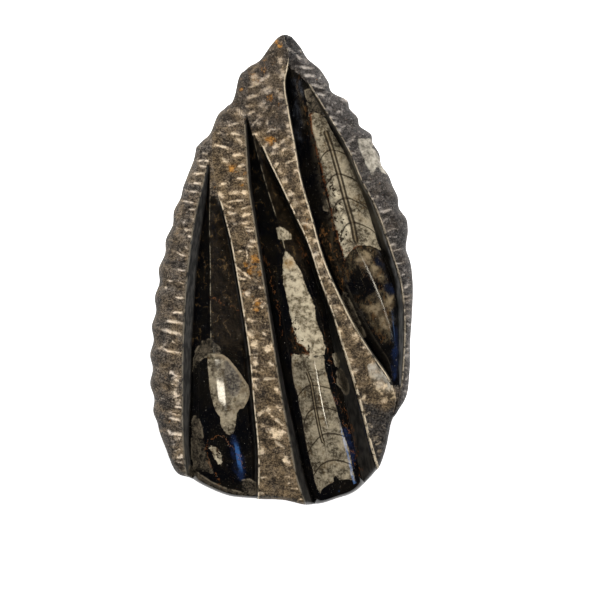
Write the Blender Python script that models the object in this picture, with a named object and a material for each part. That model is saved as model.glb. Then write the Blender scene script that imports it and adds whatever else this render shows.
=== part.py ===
"""A carved limestone slab with three straight-shelled orthoceras fossils.

The slab lies on its flat sawn back (z = 0) with its carved face up and its pointed head
towards +Y.  Three ground channels run from the head to the foot, each with a smooth wall on
one or both sides and a half-cone shell left standing along its middle.  Rough ridges stand
between the channels and a rough, scalloped rim runs round the outside.  Everything is one
piece of stone, so the whole slab is one solid.

The carved face is a grid of rows and columns.  Guide lines carry the columns: the outline,
the channel edges, the wall feet and the shell crests.  All sizes below are millimetres.
"""
import math

import bmesh
import bpy
import numpy as np
from mathutils import Vector, noise

NAME = "fossil_slab"
MM = 0.001

# ---- overall sizes -------------------------------------------------------------------------
RIDGE_TOP = 38.0          # height of the ridge tops above the back
HEAD_DROP = 7.0           # how much lower the stone is at its pointed head
HEAD_DROP_FROM = 85.0     # y where the fall towards the head starts
HEAD_DROP_RUN = 65.0
SHOULDER_WIDTH = 7.5      # rounding of the rim towards the outline
FOOT_SHOULDER = 4.0       # the same at the foot, which is cut more squarely
SHOULDER_LEVEL = 20.0     # height that the rounding falls towards
SHOULDER_KEEP = 0.55      # share of the height left at the outline itself
SIDE_LEVEL = 11.0         # where the steep side meets the taper at the back
SIDE_INSET = 0.6
BACK_INSET = 3.2          # how far the flat back lies inside the outline
RIDGE_CROWN = 0.9         # ridges are slightly rounded across
SHELL_ROUND = 0.92        # 1 is a round half-cone and 0 a flat-sided one
BOW_LIMIT = 2.6           # most that a crest falls away by its bow along the shell
BOW_RUN = 30.0            # a bow grows in over this length

# ---- the outline, seen from above ----------------------------------------------------------
ORIGIN = (0.4, 0.3)       # middle of the outline, which becomes the part's origin
LEFT_SIDE = [(-72, -118), (-78, -102), (-82, -80), (-82.5, -51), (-80, -21), (-77, 1),
             (-72, 21.5), (-64.5, 46.5), (-59.5, 60.5), (-55.5, 71), (-54.2, 78)]
SCALLOP_PITCH = 18.4      # the left rim is worked in even scallops
SCALLOP_DEPTH = 0.9
SCALLOP_PEAK = 1.0        # y of one scallop's outermost point
HEAD = [(-54.2, 78), (-50.5, 82), (-44.5, 88.5), (-41, 97.5), (-35, 104), (-29.5, 111.5),
        (-27.5, 121), (-22.5, 128), (-13, 134.5), (-6.5, 143.5), (-1.5, 149), (2.5, 150.5),
        (7, 149)]
RIGHT_SIDE = [(74, -91), (79, -83), (82, -66), (82.5, -45), (83.5, -30), (84, -6.5), (82.5, 5),
              (80, 12.5), (81, 26), (80, 32.5), (75.5, 39), (74.5, 46.5), (71.5, 53),
              (68.5, 60.5), (64.5, 66), (62.5, 74.5), (58.5, 81), (57, 87), (50.5, 91.5),
              (49, 97), (44, 102.5), (41, 109), (34.5, 112), (30, 120.5), (23.5, 129.5),
              (18, 134), (12, 143), (7, 149)]
FOOT = [(-72, -118), (-69.5, -124.5), (-58, -133), (-44, -140.5), (-33, -144.5), (-20, -146),
        (2.5, -147), (17, -150), (25, -149.5), (34.5, -146.5), (49, -140.5), (59.5, -129.5),
        (63, -125), (67.5, -111), (70, -98.5), (74, -91)]

# ---- the three channels --------------------------------------------------------------------
# left_edge, crest and right_edge are seen from above, foot first.  A wall's width is given
# as (y, width).  tip is where the channel starts below the head, shell_top where its shell
# does, and end is where a channel closes again; the others run out through the foot.  A shell
# is cut flat-sided above round_from and turns round over round_run.  Its crest is bowed along
# its length, highest at bow_at.
CHANNELS = [
    dict(left_edge=[(-60, -131.7), (-62, -109.5), (-62.5, -80), (-62, -45), (-60.5, -15),
                    (-57.5, 14), (-53.5, 38), (-48.7, 57.5), (-47, 68), (-50, 82.5)],
         crest=[(-34, -144.2), (-38, -115), (-41.5, -83), (-44, -57.5), (-44.8, -32),
                (-45, 6), (-45.5, 28.5), (-45.2, 51), (-45.2, 68), (-47, 85.7)],
         right_edge=[(-14.5, -146.2), (-14.5, -114.5), (-17, -87.5), (-20, -54), (-23.5, -30),
                     (-27, -9), (-32.5, 20.5), (-37.5, 40), (-41, 53.5), (-43.2, 68),
                     (-43.8, 89.5)],
         left_wall=[(-110, 3.6), (-80, 5.2), (-15, 6), (27, 5.4), (45, 4.6), (58, 2.6),
                    (68, 0.9)],
         right_wall=[(-120, 1.4), (50, 1.4), (68, 0.7)],
         tip=71, run=26, shell_top=48.5, shell_run=8, end=None,
         left_depth=12.5, crest_depth=3.2, right_depth=8.5,
         round_from=-41, round_run=16, bow_at=-77, bow_radius=800),
    dict(left_edge=[(16, -149.6), (11, -135), (6.5, -112.5), (2.5, -91.5), (-2.5, -61.5),
                    (-6.5, -34.5), (-11.5, -3.5), (-16.5, 28.5), (-20, 51.5), (-22, 80),
                    (-23.2, 96), (-28, 119)],
         crest=[(36.5, -145.8), (32, -115), (25.5, -83), (20.5, -55.5), (14, -31), (5.5, 1),
                (-1.5, 28.5), (-8.5, 51), (-14, 70), (-18.2, 86), (-21, 96), (-25.2, 124.3)],
         right_edge=[(62, -126.5), (58, -113.5), (52.5, -92), (46, -69), (39, -47.5),
                     (32.5, -27), (25.5, -8.5), (16.5, 18.5), (7.5, 37.5), (-0.5, 54.5),
                     (-8, 70), (-14, 84), (-18.8, 97), (-21.5, 129)],
         left_wall=[(-135, 5.6), (-100, 4.6), (-65, 3), (-35, 2), (40, 1.5), (75, 1.8),
                    (96, 0.8)],
         right_wall=[(-115, 8.6), (-92, 8), (-65, 6.6), (-42, 4.2), (-20, 1.8), (80, 1.4),
                     (96, 0.7)],
         tip=99, run=27, shell_top=86, shell_run=12, end=None,
         left_depth=13.5, crest_depth=2.4, right_depth=12,
         round_from=16, round_run=34, bow_at=-79, bow_radius=4300),
    dict(left_edge=[(69.8, -98.7), (72.4, -78), (68, -68), (57.5, -53), (47.5, -37),
                    (38.5, -19.5), (28, 4.5), (19, 35.5), (12.5, 58.5), (8.5, 81), (5, 100),
                    (2.5, 121), (5.5, 135), (2, 150.4)],
         crest=[(71.4, -96), (74.3, -78), (73, -52.5), (68.6, -33.5), (61.2, -13), (50.8, 9.5),
                (39.5, 30.5), (32, 51), (26, 70), (20.5, 89), (13.5, 105), (6.8, 127.5),
                (5.5, 135), (3, 150.5)],
         right_edge=[(72.8, -93.3), (76, -78), (77.5, -62.5), (78.5, -41.5), (78, -22),
                     (75, -3.5), (70.5, 10.5), (65.5, 25.5), (58.5, 43), (50.5, 58),
                     (45, 71.5), (35.5, 89), (28.5, 100.5), (21.5, 112), (13.5, 125),
                     (7, 135), (5, 149.6)],
         left_wall=[(-78, 0.5), (-60, 1.4), (110, 1.4), (135, 0.6)],
         right_wall=[(-78, 0.6), (-60, 2.4), (-24, 3.4), (-4, 4.4), (16, 5.6), (37, 5.2),
                     (57, 3), (89, 2.2), (112, 1.6), (135, 0.6)],
         tip=136, run=30, shell_top=132, shell_run=22, end=-79,
         left_depth=13, crest_depth=2.6, right_depth=10.5,
         round_from=24, round_run=18, bow_at=27, bow_radius=1400),
]
END_RUN = 22.0            # a closing channel shallows over this length
FLANK_RUN = 3.0           # a right flank deepens over this many shell runs

# ---- grid ----------------------------------------------------------------------------------
COLUMNS = {"rim": 4, "wall": 1, "flank_up": 4, "flank_down": 4, "ridge": 3}
ROWS = 84
OUTLINE_STEPS = 400       # points along each side of the outline when measuring to it

# ---- rough stone ---------------------------------------------------------------------------
LUMP_SIZE = 11.0
LUMP_HEIGHT = 0.8
NOTCH_PITCH = 13.0        # broad tool bites along the ridges
NOTCH_DEPTH = 0.9
SIDE_LUMP = 0.9

SMOOTH_ANGLE = math.radians(38)


def smooth_curve(points, along):
    """Smooth function through the points, read along x (0) or y (1)."""
    ordered = sorted(points, key=lambda point: point[along])
    knots = np.array([point[along] for point in ordered], float)
    values = np.array([point[1 - along] for point in ordered], float)
    slopes = np.gradient(values, knots)

    def at(position):
        position = np.clip(position, knots[0], knots[-1])
        i = np.clip(np.searchsorted(knots, position, side="right") - 1, 0, len(knots) - 2)
        span = knots[i + 1] - knots[i]
        s = (position - knots[i]) / span
        ends = values[i] * (1 + 2 * s) * (1 - s) ** 2 + values[i + 1] * s * s * (3 - 2 * s)
        bends = slopes[i] * s * (1 - s) ** 2 - slopes[i + 1] * s * s * (1 - s)
        return ends + span * bends

    return at


def ease(t):
    """Smooth step from 0 to 1."""
    t = np.clip(t, 0.0, 1.0)
    return t * t * (3 - 2 * t)


def scallops(y):
    """Outward push of the left rim at y."""
    fade = ease((60 - y) / 20) * ease((y + 105) / 15)
    return SCALLOP_DEPTH * fade * np.cos(2 * math.pi * (y - SCALLOP_PEAK) / SCALLOP_PITCH)


def follow(points, v):
    """Points of a guide line at the row fractions v, from its foot end to its head end."""
    y = points[0][1] + (points[-1][1] - points[0][1]) * v
    return smooth_curve(points, 1)(y), y


def channel_guides(channel, v):
    """The five guide lines of a channel, as x, y, depth below the ridge tops and polish."""

    def opened(y, start, run):
        grown = ease((start - y) / run)
        if channel["end"] is not None:
            grown = grown * ease((y - channel["end"]) / END_RUN)
        return grown

    left_x, left_y = follow(channel["left_edge"], v)
    crest_x, crest_y = follow(channel["crest"], v)
    right_x, right_y = follow(channel["right_edge"], v)
    left_foot = left_x + wall_width(channel["left_wall"], left_y)
    right_foot = right_x - wall_width(channel["right_wall"], right_y)
    shell_top, shell_run = channel["shell_top"], channel["shell_run"]
    left_open = opened(left_y, channel["tip"], channel["run"])
    crest_open = opened(crest_y, shell_top, shell_run)
    right_open = opened(right_y, shell_top, shell_run * FLANK_RUN)
    bow = (crest_y - channel["bow_at"]) ** 2 / (2 * channel["bow_radius"])
    bow = np.minimum(bow, BOW_LIMIT) * ease((channel["round_from"] - crest_y) / BOW_RUN)
    level = np.zeros_like(v)
    return [(left_x, left_y, level, left_open),
            (left_foot, left_y, channel["left_depth"] * left_open, left_open),
            (crest_x, crest_y, channel["crest_depth"] * crest_open + bow, crest_open),
            (right_foot, right_y, channel["right_depth"] * right_open, right_open),
            (right_x, right_y, level, right_open)]


def wall_width(widths, y):
    knots = sorted(widths)
    return np.interp(y, [k[0] for k in knots], [k[1] for k in knots])


def flank(s, roundness):
    """Rise of a shell's flank from its foot (s = 0) to its crest (s = 1)."""
    return (1 - roundness) * s + roundness * np.sqrt(1 - (1 - s) ** 2)


def face_columns():
    """Columns of the carved face, left to right, as arrays of x, y, relief and roughness."""
    v = np.linspace(0, 1, ROWS + 1)
    left_x, left_y = follow(LEFT_SIDE, v)
    right_x, right_y = follow(RIGHT_SIDE, v)
    level = np.zeros_like(v)
    guides = [(left_x - scallops(left_y), left_y, level, level)]
    kinds = ["rim"]
    for channel in CHANNELS:
        guides += channel_guides(channel, v)
        kinds += ["wall", "flank_up", "flank_down", "wall", "ridge"]
    guides.append((right_x, right_y, level, level))
    kinds[-1] = "rim"
    foot_at = smooth_curve(FOOT, 0)
    head_at = smooth_curve(HEAD, 0)
    columns = []
    for band, (kind, start, stop) in enumerate(zip(kinds, guides, guides[1:])):
        channel = CHANNELS[min(max(band - 1, 0) // 5, 2)]
        turned = ease((channel["round_from"] - start[1]) / channel["round_run"])
        roundness = SHELL_ROUND * turned
        for step in range(COLUMNS[kind]):
            s = step / COLUMNS[kind]
            x, y, depth, polish = [a + (b - a) * s for a, b in zip(start, stop)]
            y = y + (foot_at(x[0]) - y[0]) * (1 - v) ** 3 + (head_at(x[-1]) - y[-1]) * v ** 3
            if kind == "flank_up":
                depth = start[2] + (stop[2] - start[2]) * flank(s, roundness)
            if kind == "flank_down":
                depth = stop[2] + (start[2] - stop[2]) * flank(1 - s, roundness)
            standing = kind in ("rim", "ridge")
            crown = RIDGE_CROWN * 4 * s * (1 - s) if standing else 0.0
            rough = level + 1 if standing and step else 1 - polish
            columns.append((x, y, crown - depth, rough))
    columns.append((right_x, right_y, level, level + 1))
    return columns


def outline_points():
    """Close points round the outline as x, y and the width of the rounding there."""
    v = np.linspace(0, 1, OUTLINE_STEPS)
    left_x, left_y = follow(LEFT_SIDE, v)
    right_x, right_y = follow(RIGHT_SIDE, v)
    foot_x = np.linspace(FOOT[0][0], FOOT[-1][0], OUTLINE_STEPS)
    head_x = np.linspace(HEAD[0][0], HEAD[-1][0], OUTLINE_STEPS)
    x = np.concatenate([left_x - scallops(left_y), right_x, head_x, foot_x])
    y = np.concatenate([left_y, right_y, smooth_curve(HEAD, 0)(head_x),
                        smooth_curve(FOOT, 0)(foot_x)])
    width = np.repeat([SHOULDER_WIDTH] * 3 + [FOOT_SHOULDER], OUTLINE_STEPS)
    return x, y, width


def surface_height(x, y, relief, rough, outline):
    """Height of the carved face at one point, in millimetres."""
    lump = noise.noise(Vector((x, y, 3.0)) / LUMP_SIZE) * LUMP_HEIGHT
    bite = max(0.0, math.sin(2 * math.pi * (y + 0.35 * x) / NOTCH_PITCH)) * NOTCH_DEPTH
    top = RIDGE_TOP - HEAD_DROP * float(ease((y - HEAD_DROP_FROM) / HEAD_DROP_RUN))
    height = top + relief + (lump - bite) * rough
    away = min(1.0, float(np.min(np.hypot(outline[0] - x, outline[1] - y) / outline[2])))
    rounding = math.sqrt(1 - (1 - away) ** 2)
    keep = SHOULDER_KEEP + (1 - SHOULDER_KEEP) * rounding
    return SHOULDER_LEVEL + (height - SHOULDER_LEVEL) * keep


def carved_face(bm):
    """The carved face: a grid whose vertices are moved onto the guide lines."""
    columns = face_columns()
    outline = outline_points()
    across = len(columns) - 1
    bmesh.ops.create_grid(bm, x_segments=across, y_segments=ROWS, size=0.5)
    for vert in bm.verts:
        j = round((vert.co.x + 0.5) * across)
        i = round((vert.co.y + 0.5) * ROWS)
        x, y, relief, rough = [values[i] for values in columns[j]]
        z = surface_height(x, y, relief, rough, outline)
        vert.co = Vector((x - ORIGIN[0], y - ORIGIN[1], z)) * MM


def drop_side(bm, level, inset):
    """Extrude the open border down to a level, drawn in by inset, and return its edges."""
    border = [edge for edge in bm.edges if edge.is_boundary]
    grown = bmesh.ops.extrude_edge_only(bm, edges=border)["geom"]
    verts = [item for item in grown if isinstance(item, bmesh.types.BMVert)]
    for vert in verts:
        lump = noise.noise(vert.co / (LUMP_SIZE * MM)) * SIDE_LUMP if level > 0 else 0.0
        out = Vector((vert.co.x, vert.co.y, 0.0)).normalized()
        vert.co -= out * (inset + max(lump, 0.0)) * MM
        vert.co.z = level * MM
    return [item for item in grown if isinstance(item, bmesh.types.BMEdge)]


def stone_material():
    material = bpy.data.materials.new("limestone")
    material.use_nodes = True
    shader = material.node_tree.nodes["Principled BSDF"]
    shader.inputs["Base Color"].default_value = (0.15, 0.13, 0.105, 1.0)
    shader.inputs["Roughness"].default_value = 0.7
    shader.inputs["Metallic"].default_value = 0.0
    return material


def build_slab():
    bm = bmesh.new()
    carved_face(bm)
    drop_side(bm, SIDE_LEVEL, SIDE_INSET)
    rim = drop_side(bm, 0.0, BACK_INSET - SIDE_INSET)
    bmesh.ops.contextual_create(bm, geom=[edge for edge in rim if edge.is_boundary])
    bmesh.ops.triangulate(bm, faces=bm.faces[:])
    bmesh.ops.recalc_face_normals(bm, faces=bm.faces[:])
    mesh = bpy.data.meshes.new(NAME)
    bm.to_mesh(mesh)
    bm.free()
    mesh.materials.append(stone_material())
    mesh.shade_smooth()
    mesh.set_sharp_from_angle(angle=SMOOTH_ANGLE)
    slab = bpy.data.objects.new(NAME, mesh)
    bpy.context.collection.objects.link(slab)
    return slab


for leftover in list(bpy.data.objects):
    bpy.data.objects.remove(leftover)
build_slab()
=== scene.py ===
# %% [markdown]
# # A carved limestone slab with three orthoceras shells
#
# The real object is one block of dark limestone about 300 mm long.  Three straight cone-shaped
# shells lie in it.  A carver ground a channel along each shell and polished the shell and the
# channel, and left the stone between them rough.  This file dresses the solid that carries
# the slab: it makes the carved face again at full detail, gives it its stone and shell
# finishes, and sets up the floor, the light and the camera.

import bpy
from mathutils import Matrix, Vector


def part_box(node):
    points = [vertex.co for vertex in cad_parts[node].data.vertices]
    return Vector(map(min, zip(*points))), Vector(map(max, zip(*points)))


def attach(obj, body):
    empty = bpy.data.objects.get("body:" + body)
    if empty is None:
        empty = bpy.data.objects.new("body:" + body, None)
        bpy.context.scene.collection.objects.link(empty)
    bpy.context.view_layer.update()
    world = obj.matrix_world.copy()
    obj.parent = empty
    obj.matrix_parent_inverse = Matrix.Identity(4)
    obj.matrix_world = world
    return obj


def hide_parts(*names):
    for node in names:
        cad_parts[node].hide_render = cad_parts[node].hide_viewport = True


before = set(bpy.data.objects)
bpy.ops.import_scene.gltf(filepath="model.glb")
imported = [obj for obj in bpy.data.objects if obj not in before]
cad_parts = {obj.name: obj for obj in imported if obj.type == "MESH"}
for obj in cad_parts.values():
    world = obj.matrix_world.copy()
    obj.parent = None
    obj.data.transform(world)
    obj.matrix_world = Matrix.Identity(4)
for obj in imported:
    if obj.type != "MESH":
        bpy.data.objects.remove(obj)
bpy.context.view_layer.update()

# %% [markdown]
# The rest of the imports are Python's and Blender's own modules and numpy.  Numpy keeps every
# column of the carved face as one array, so that a rule is written once for all the rows.  The
# sizes of the stone are millimetres, as a mason would give them, and MM turns them into
# Blender's metres.

# %% Modules and units
import math

import bmesh
import bpy
import numpy as np
from mathutils import Matrix, Vector, kdtree, noise

MM = 0.001
NODE = "fossil_slab"
low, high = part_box(NODE)
print("slab:", [round((b - a) / MM, 1) for a, b in zip(low, high)], "mm")

# %% [markdown]
# ## The drawing on the stone
#
# A carver first draws the outline and the channel edges on the block.  These lists are that
# drawing, seen from above with the pointed head at +Y, and they are the same lines as the
# solid's.  A curve through a few chosen points suits a hand-drawn line better than arcs would,
# and keeps each list short enough to change by hand.

# %% Outline
ORIGIN = (0.4, 0.3)       # point of the drawing that lies at the frame's origin
LEFT_SIDE = [(-72, -118), (-78, -102), (-82, -80), (-82.5, -51), (-80, -21), (-77, 1),
             (-72, 21.5), (-64.5, 46.5), (-59.5, 60.5), (-55.5, 71), (-54.2, 78)]
HEAD = [(-54.2, 78), (-50.5, 82), (-44.5, 88.5), (-41, 97.5), (-35, 104), (-29.5, 111.5),
        (-27.5, 121), (-22.5, 128), (-13, 134.5), (-6.5, 143.5), (-1.5, 149), (2.5, 150.5),
        (7, 149)]
RIGHT_SIDE = [(74, -91), (79, -83), (82, -66), (82.5, -45), (83.5, -30), (84, -6.5), (82.5, 5),
              (80, 12.5), (81, 26), (80, 32.5), (75.5, 39), (74.5, 46.5), (71.5, 53),
              (68.5, 60.5), (64.5, 66), (62.5, 74.5), (58.5, 81), (57, 87), (50.5, 91.5),
              (49, 97), (44, 102.5), (41, 109), (34.5, 112), (30, 120.5), (23.5, 129.5),
              (18, 134), (12, 143), (7, 149)]
FOOT = [(-72, -118), (-69.5, -124.5), (-58, -133), (-44, -140.5), (-33, -144.5), (-20, -146),
        (2.5, -147), (17, -150), (25, -149.5), (34.5, -146.5), (49, -140.5), (59.5, -129.5),
        (63, -125), (67.5, -111), (70, -98.5), (74, -91)]
SCALLOP_PITCH = 18.4
SCALLOP_DEPTH = 0.9
SCALLOP_PEAK = 1.0        # y of one scallop's top
SCALLOPS_FROM = -105
SCALLOPS_TO = 60
print("outline drawn with", sum(map(len, (LEFT_SIDE, HEAD, RIGHT_SIDE, FOOT))), "points")

# %% Channels
CHANNELS = [
    dict(left_edge=[(-60, -131.7), (-62, -109.5), (-62.5, -80), (-62, -45), (-60.5, -15),
                    (-57.5, 14), (-53.5, 38), (-48.7, 57.5), (-47, 68), (-50, 82.5)],
         crest=[(-34, -144.2), (-38, -115), (-41.5, -83), (-44, -57.5), (-44.8, -32),
                (-45, 6), (-45.5, 28.5), (-45.2, 51), (-45.2, 68), (-47, 85.7)],
         right_edge=[(-14.5, -146.2), (-14.5, -114.5), (-17, -87.5), (-20, -54), (-23.5, -30),
                     (-27, -9), (-32.5, 20.5), (-37.5, 40), (-41, 53.5), (-43.2, 68),
                     (-43.8, 89.5)],
         left_wall=[(-110, 3.6), (-80, 5.2), (-15, 6), (27, 5.4), (45, 4.6), (58, 2.6),
                    (68, 0.9)],
         right_wall=[(-120, 1.4), (50, 1.4), (68, 0.7)],
         tip=71, run=26, shell_top=48.5, shell_run=8, end=None,
         left_depth=12.5, crest_depth=3.2, right_depth=8.5,
         round_from=-41, round_run=16, bow_at=-77, bow_radius=800),
    dict(left_edge=[(16, -149.6), (11, -135), (6.5, -112.5), (2.5, -91.5), (-2.5, -61.5),
                    (-6.5, -34.5), (-11.5, -3.5), (-16.5, 28.5), (-20, 51.5), (-22, 80),
                    (-23.2, 96), (-28, 119)],
         crest=[(36.5, -145.8), (32, -115), (25.5, -83), (20.5, -55.5), (14, -31), (5.5, 1),
                (-1.5, 28.5), (-8.5, 51), (-14, 70), (-18.2, 86), (-21, 96), (-25.2, 124.3)],
         right_edge=[(62, -126.5), (58, -113.5), (52.5, -92), (46, -69), (39, -47.5),
                     (32.5, -27), (25.5, -8.5), (16.5, 18.5), (7.5, 37.5), (-0.5, 54.5),
                     (-8, 70), (-14, 84), (-18.8, 97), (-21.5, 129)],
         left_wall=[(-135, 5.6), (-100, 4.6), (-65, 3), (-35, 2), (40, 1.5), (75, 1.8),
                    (96, 0.8)],
         right_wall=[(-115, 8.6), (-92, 8), (-65, 6.6), (-42, 4.2), (-20, 1.8), (80, 1.4),
                     (96, 0.7)],
         tip=99, run=27, shell_top=86, shell_run=12, end=None,
         left_depth=13.5, crest_depth=2.4, right_depth=12,
         round_from=16, round_run=34, bow_at=-79, bow_radius=4300),
    dict(left_edge=[(69.8, -98.7), (72.4, -78), (68, -68), (57.5, -53), (47.5, -37),
                    (38.5, -19.5), (28, 4.5), (19, 35.5), (12.5, 58.5), (8.5, 81), (5, 100),
                    (2.5, 121), (5.5, 135), (2, 150.4)],
         crest=[(71.4, -96), (74.3, -78), (73, -52.5), (68.6, -33.5), (61.2, -13), (50.8, 9.5),
                (39.5, 30.5), (32, 51), (26, 70), (20.5, 89), (13.5, 105), (6.8, 127.5),
                (5.5, 135), (3, 150.5)],
         right_edge=[(72.8, -93.3), (76, -78), (77.5, -62.5), (78.5, -41.5), (78, -22),
                     (75, -3.5), (70.5, 10.5), (65.5, 25.5), (58.5, 43), (50.5, 58),
                     (45, 71.5), (35.5, 89), (28.5, 100.5), (21.5, 112), (13.5, 125),
                     (7, 135), (5, 149.6)],
         left_wall=[(-78, 0.5), (-60, 1.4), (110, 1.4), (135, 0.6)],
         right_wall=[(-78, 0.6), (-60, 2.4), (-24, 3.4), (-4, 4.4), (16, 5.6), (37, 5.2),
                     (57, 3), (89, 2.2), (112, 1.6), (135, 0.6)],
         tip=136, run=30, shell_top=132, shell_run=22, end=-79,
         left_depth=13, crest_depth=2.6, right_depth=10.5,
         round_from=24, round_run=18, bow_at=27, bow_radius=1400),
]
END_RUN = 22.0
FLANK_RUN = 3.0
print("channels:", len(CHANNELS))

# %% [markdown]
# A curve through the points is a cubic spline whose slope at each point is taken from its
# neighbours.  Blender's own curves would do the same, but every column of the grid below has
# to be read at the same heights, which a function gives directly.

# %% Curve through points
def smooth_curve(points, along):
    """Smooth function through the points, read along x (0) or y (1)."""
    ordered = sorted(points, key=lambda point: point[along])
    knots = np.array([point[along] for point in ordered], float)
    values = np.array([point[1 - along] for point in ordered], float)
    slopes = np.gradient(values, knots)

    def at(position):
        position = np.clip(position, knots[0], knots[-1])
        i = np.clip(np.searchsorted(knots, position, side="right") - 1, 0, len(knots) - 2)
        span = knots[i + 1] - knots[i]
        s = (position - knots[i]) / span
        ends = values[i] * (1 + 2 * s) * (1 - s) ** 2 + values[i + 1] * s * s * (3 - 2 * s)
        bends = slopes[i] * s * (1 - s) ** 2 - slopes[i + 1] * s * s * (1 - s)
        return ends + span * bends

    return at


def follow(points, v):
    """Points of a line at the row fractions v, from its foot end to its head end."""
    y = points[0][1] + (points[-1][1] - points[0][1]) * v
    return smooth_curve(points, 1)(y), y


def ease(t):
    """Smooth step from 0 to 1."""
    t = np.clip(t, 0.0, 1.0)
    return t * t * (3 - 2 * t)


def stepped(pairs, y):
    """Value at y between the (y, value) pairs."""
    pairs = sorted(pairs)
    return np.interp(y, [pair[0] for pair in pairs], [pair[1] for pair in pairs])


def scallops(y):
    """Outward push of the left rim at y."""
    fade = ease((SCALLOPS_TO - y) / 20) * ease((y - SCALLOPS_FROM) / 15)
    return SCALLOP_DEPTH * fade * np.cos(2 * math.pi * (y - SCALLOP_PEAK) / SCALLOP_PITCH)


print("left rim at mid-length: x =", round(float(smooth_curve(LEFT_SIDE, 1)(0.0)), 1), "mm")

# %% [markdown]
# ## The carved face as a grid
#
# The face is one grid of columns and rows.  Five lines carry each channel: its left edge, the
# foot of its left wall, the crest of the shell, the foot of its right wall and its right edge.
# A grid laid on those lines keeps every edge of the carving a clean line of mesh edges, which
# a height map on a square grid couldn't do.  The bands between the lines each get as many
# columns as their width needs.

# %% Lines that carry the columns
ROWS = 400
BANDS = [("rim", 20), ("left_wall", 4), ("left_flank", 12), ("right_flank", 14),
         ("right_wall", 3), ("ridge", 30), ("left_wall", 3), ("left_flank", 14),
         ("right_flank", 16), ("right_wall", 4), ("ridge", 20), ("left_wall", 2),
         ("left_flank", 12), ("right_flank", 16), ("right_wall", 4), ("rim", 12)]
BOW_LIMIT = 2.6           # most that a crest falls away by its bow
BOW_RUN = 30.0            # a bow grows in over this length
rows = np.linspace(0, 1, ROWS + 1)
level = np.zeros_like(rows)


def opened(channel, y, start, run):
    """Share of its full depth that a channel has at y, from its tip at start."""
    grown = ease((start - y) / run)
    if channel["end"] is not None:
        grown = grown * ease((y - channel["end"]) / END_RUN)
    return grown


def channel_lines(channel):
    """The five lines of a channel as x, y, depth below the ridge tops and polish."""
    left_x, left_y = follow(channel["left_edge"], rows)
    crest_x, crest_y = follow(channel["crest"], rows)
    right_x, right_y = follow(channel["right_edge"], rows)
    left_foot = left_x + stepped(channel["left_wall"], left_y)
    right_foot = right_x - stepped(channel["right_wall"], right_y)
    shell_top, shell_run = channel["shell_top"], channel["shell_run"]
    left_open = opened(channel, left_y, channel["tip"], channel["run"])
    crest_open = opened(channel, crest_y, shell_top, shell_run)
    right_open = opened(channel, right_y, shell_top, shell_run * FLANK_RUN)
    bow = (crest_y - channel["bow_at"]) ** 2 / (2 * channel["bow_radius"])
    bow = np.minimum(bow, BOW_LIMIT) * ease((channel["round_from"] - crest_y) / BOW_RUN)
    return [(left_x, left_y, level, left_open),
            (left_foot, left_y, channel["left_depth"] * left_open, left_open),
            (crest_x, crest_y, channel["crest_depth"] * crest_open + bow, crest_open),
            (right_foot, right_y, channel["right_depth"] * right_open, right_open),
            (right_x, right_y, level, right_open)]


left_x, left_y = follow(LEFT_SIDE, rows)
right_x, right_y = follow(RIGHT_SIDE, rows)
lines = [(left_x - scallops(left_y), left_y, level, level)]
for channel in CHANNELS:
    lines += channel_lines(channel)
lines.append((right_x, right_y, level, level))
print("lines:", len(lines), " bands between them:", len(BANDS))

# %% [markdown]
# Each column is a blend of the two lines beside it.  A shell's flank rises steeply from the
# groove and rounds over at its crest, so its height follows a mix of a slope and a quarter
# circle.  Along with its place, every column keeps how polished it is, because the finishes
# need that too.

# %% Columns
SHELL_ROUND = 0.92
RIDGE_CROWN = 0.9
EARLY_POLISH = 4.0        # the polish reaches full strength while a channel is still shallow
FAR = 30.0                # stands for no line near


def flank(s, roundness):
    """Rise of a shell's flank from its foot (s = 0) to its crest (s = 1)."""
    return (1 - roundness) * s + roundness * np.sqrt(1 - (1 - s) ** 2)


def column(kind, start, stop, s, ends, roundness):
    """One column of the face: x, y, relief, polish, share of wall and side of the crest."""
    x, y, depth, share = [a + (b - a) * s for a, b in zip(start, stop)]
    polish = np.minimum(share * EARLY_POLISH, 1.0)
    y = y + ends[0] * (1 - rows) ** 3 + ends[1] * rows ** 3
    if kind == "left_flank":
        depth = start[2] + (stop[2] - start[2]) * flank(s, roundness)
    if kind == "right_flank":
        depth = stop[2] + (start[2] - stop[2]) * flank(1 - s, roundness)
    side = kind.startswith("right") * 1 - kind.startswith("left") * 1
    crown = RIDGE_CROWN * 4 * s * (1 - s) if side == 0 else 0.0
    if side == 0:
        polish = level
    wall = level + kind.endswith("wall") * polish
    return [x, y, crown - depth, polish, wall, level + side]


foot_at = smooth_curve(FOOT, 0)
head_at = smooth_curve(HEAD, 0)
columns = []
for band, (kind, count) in enumerate(BANDS):
    start, stop = lines[band], lines[band + 1]
    channel = CHANNELS[min(max(band - 1, 0) // 5, 2)]
    turned = ease((channel["round_from"] - start[1]) / channel["round_run"])
    for step in range(count + (band == len(BANDS) - 1)):
        s = step / count
        x, y = [a + (b - a) * s for a, b in zip(start[:2], stop[:2])]
        ends = (foot_at(x[0]) - y[0], head_at(x[-1]) - y[-1])
        columns.append(column(kind, start, stop, s, ends, SHELL_ROUND * turned) + [1 - turned])
grid_x, grid_y, relief, polish, wall, side, sharp = map(np.array, zip(*columns))
ACROSS = len(columns) - 1
print("grid:", ACROSS, "by", ROWS, "=", 2 * ACROSS * ROWS, "triangles")

# %% [markdown]
# Three distances shape much of what follows: how far a point is from the arris of a channel,
# from the crest of a shell and from the outline.  Blender's k-d tree finds the nearest of many
# points quickly, so each line is turned into a close row of points first.

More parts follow.
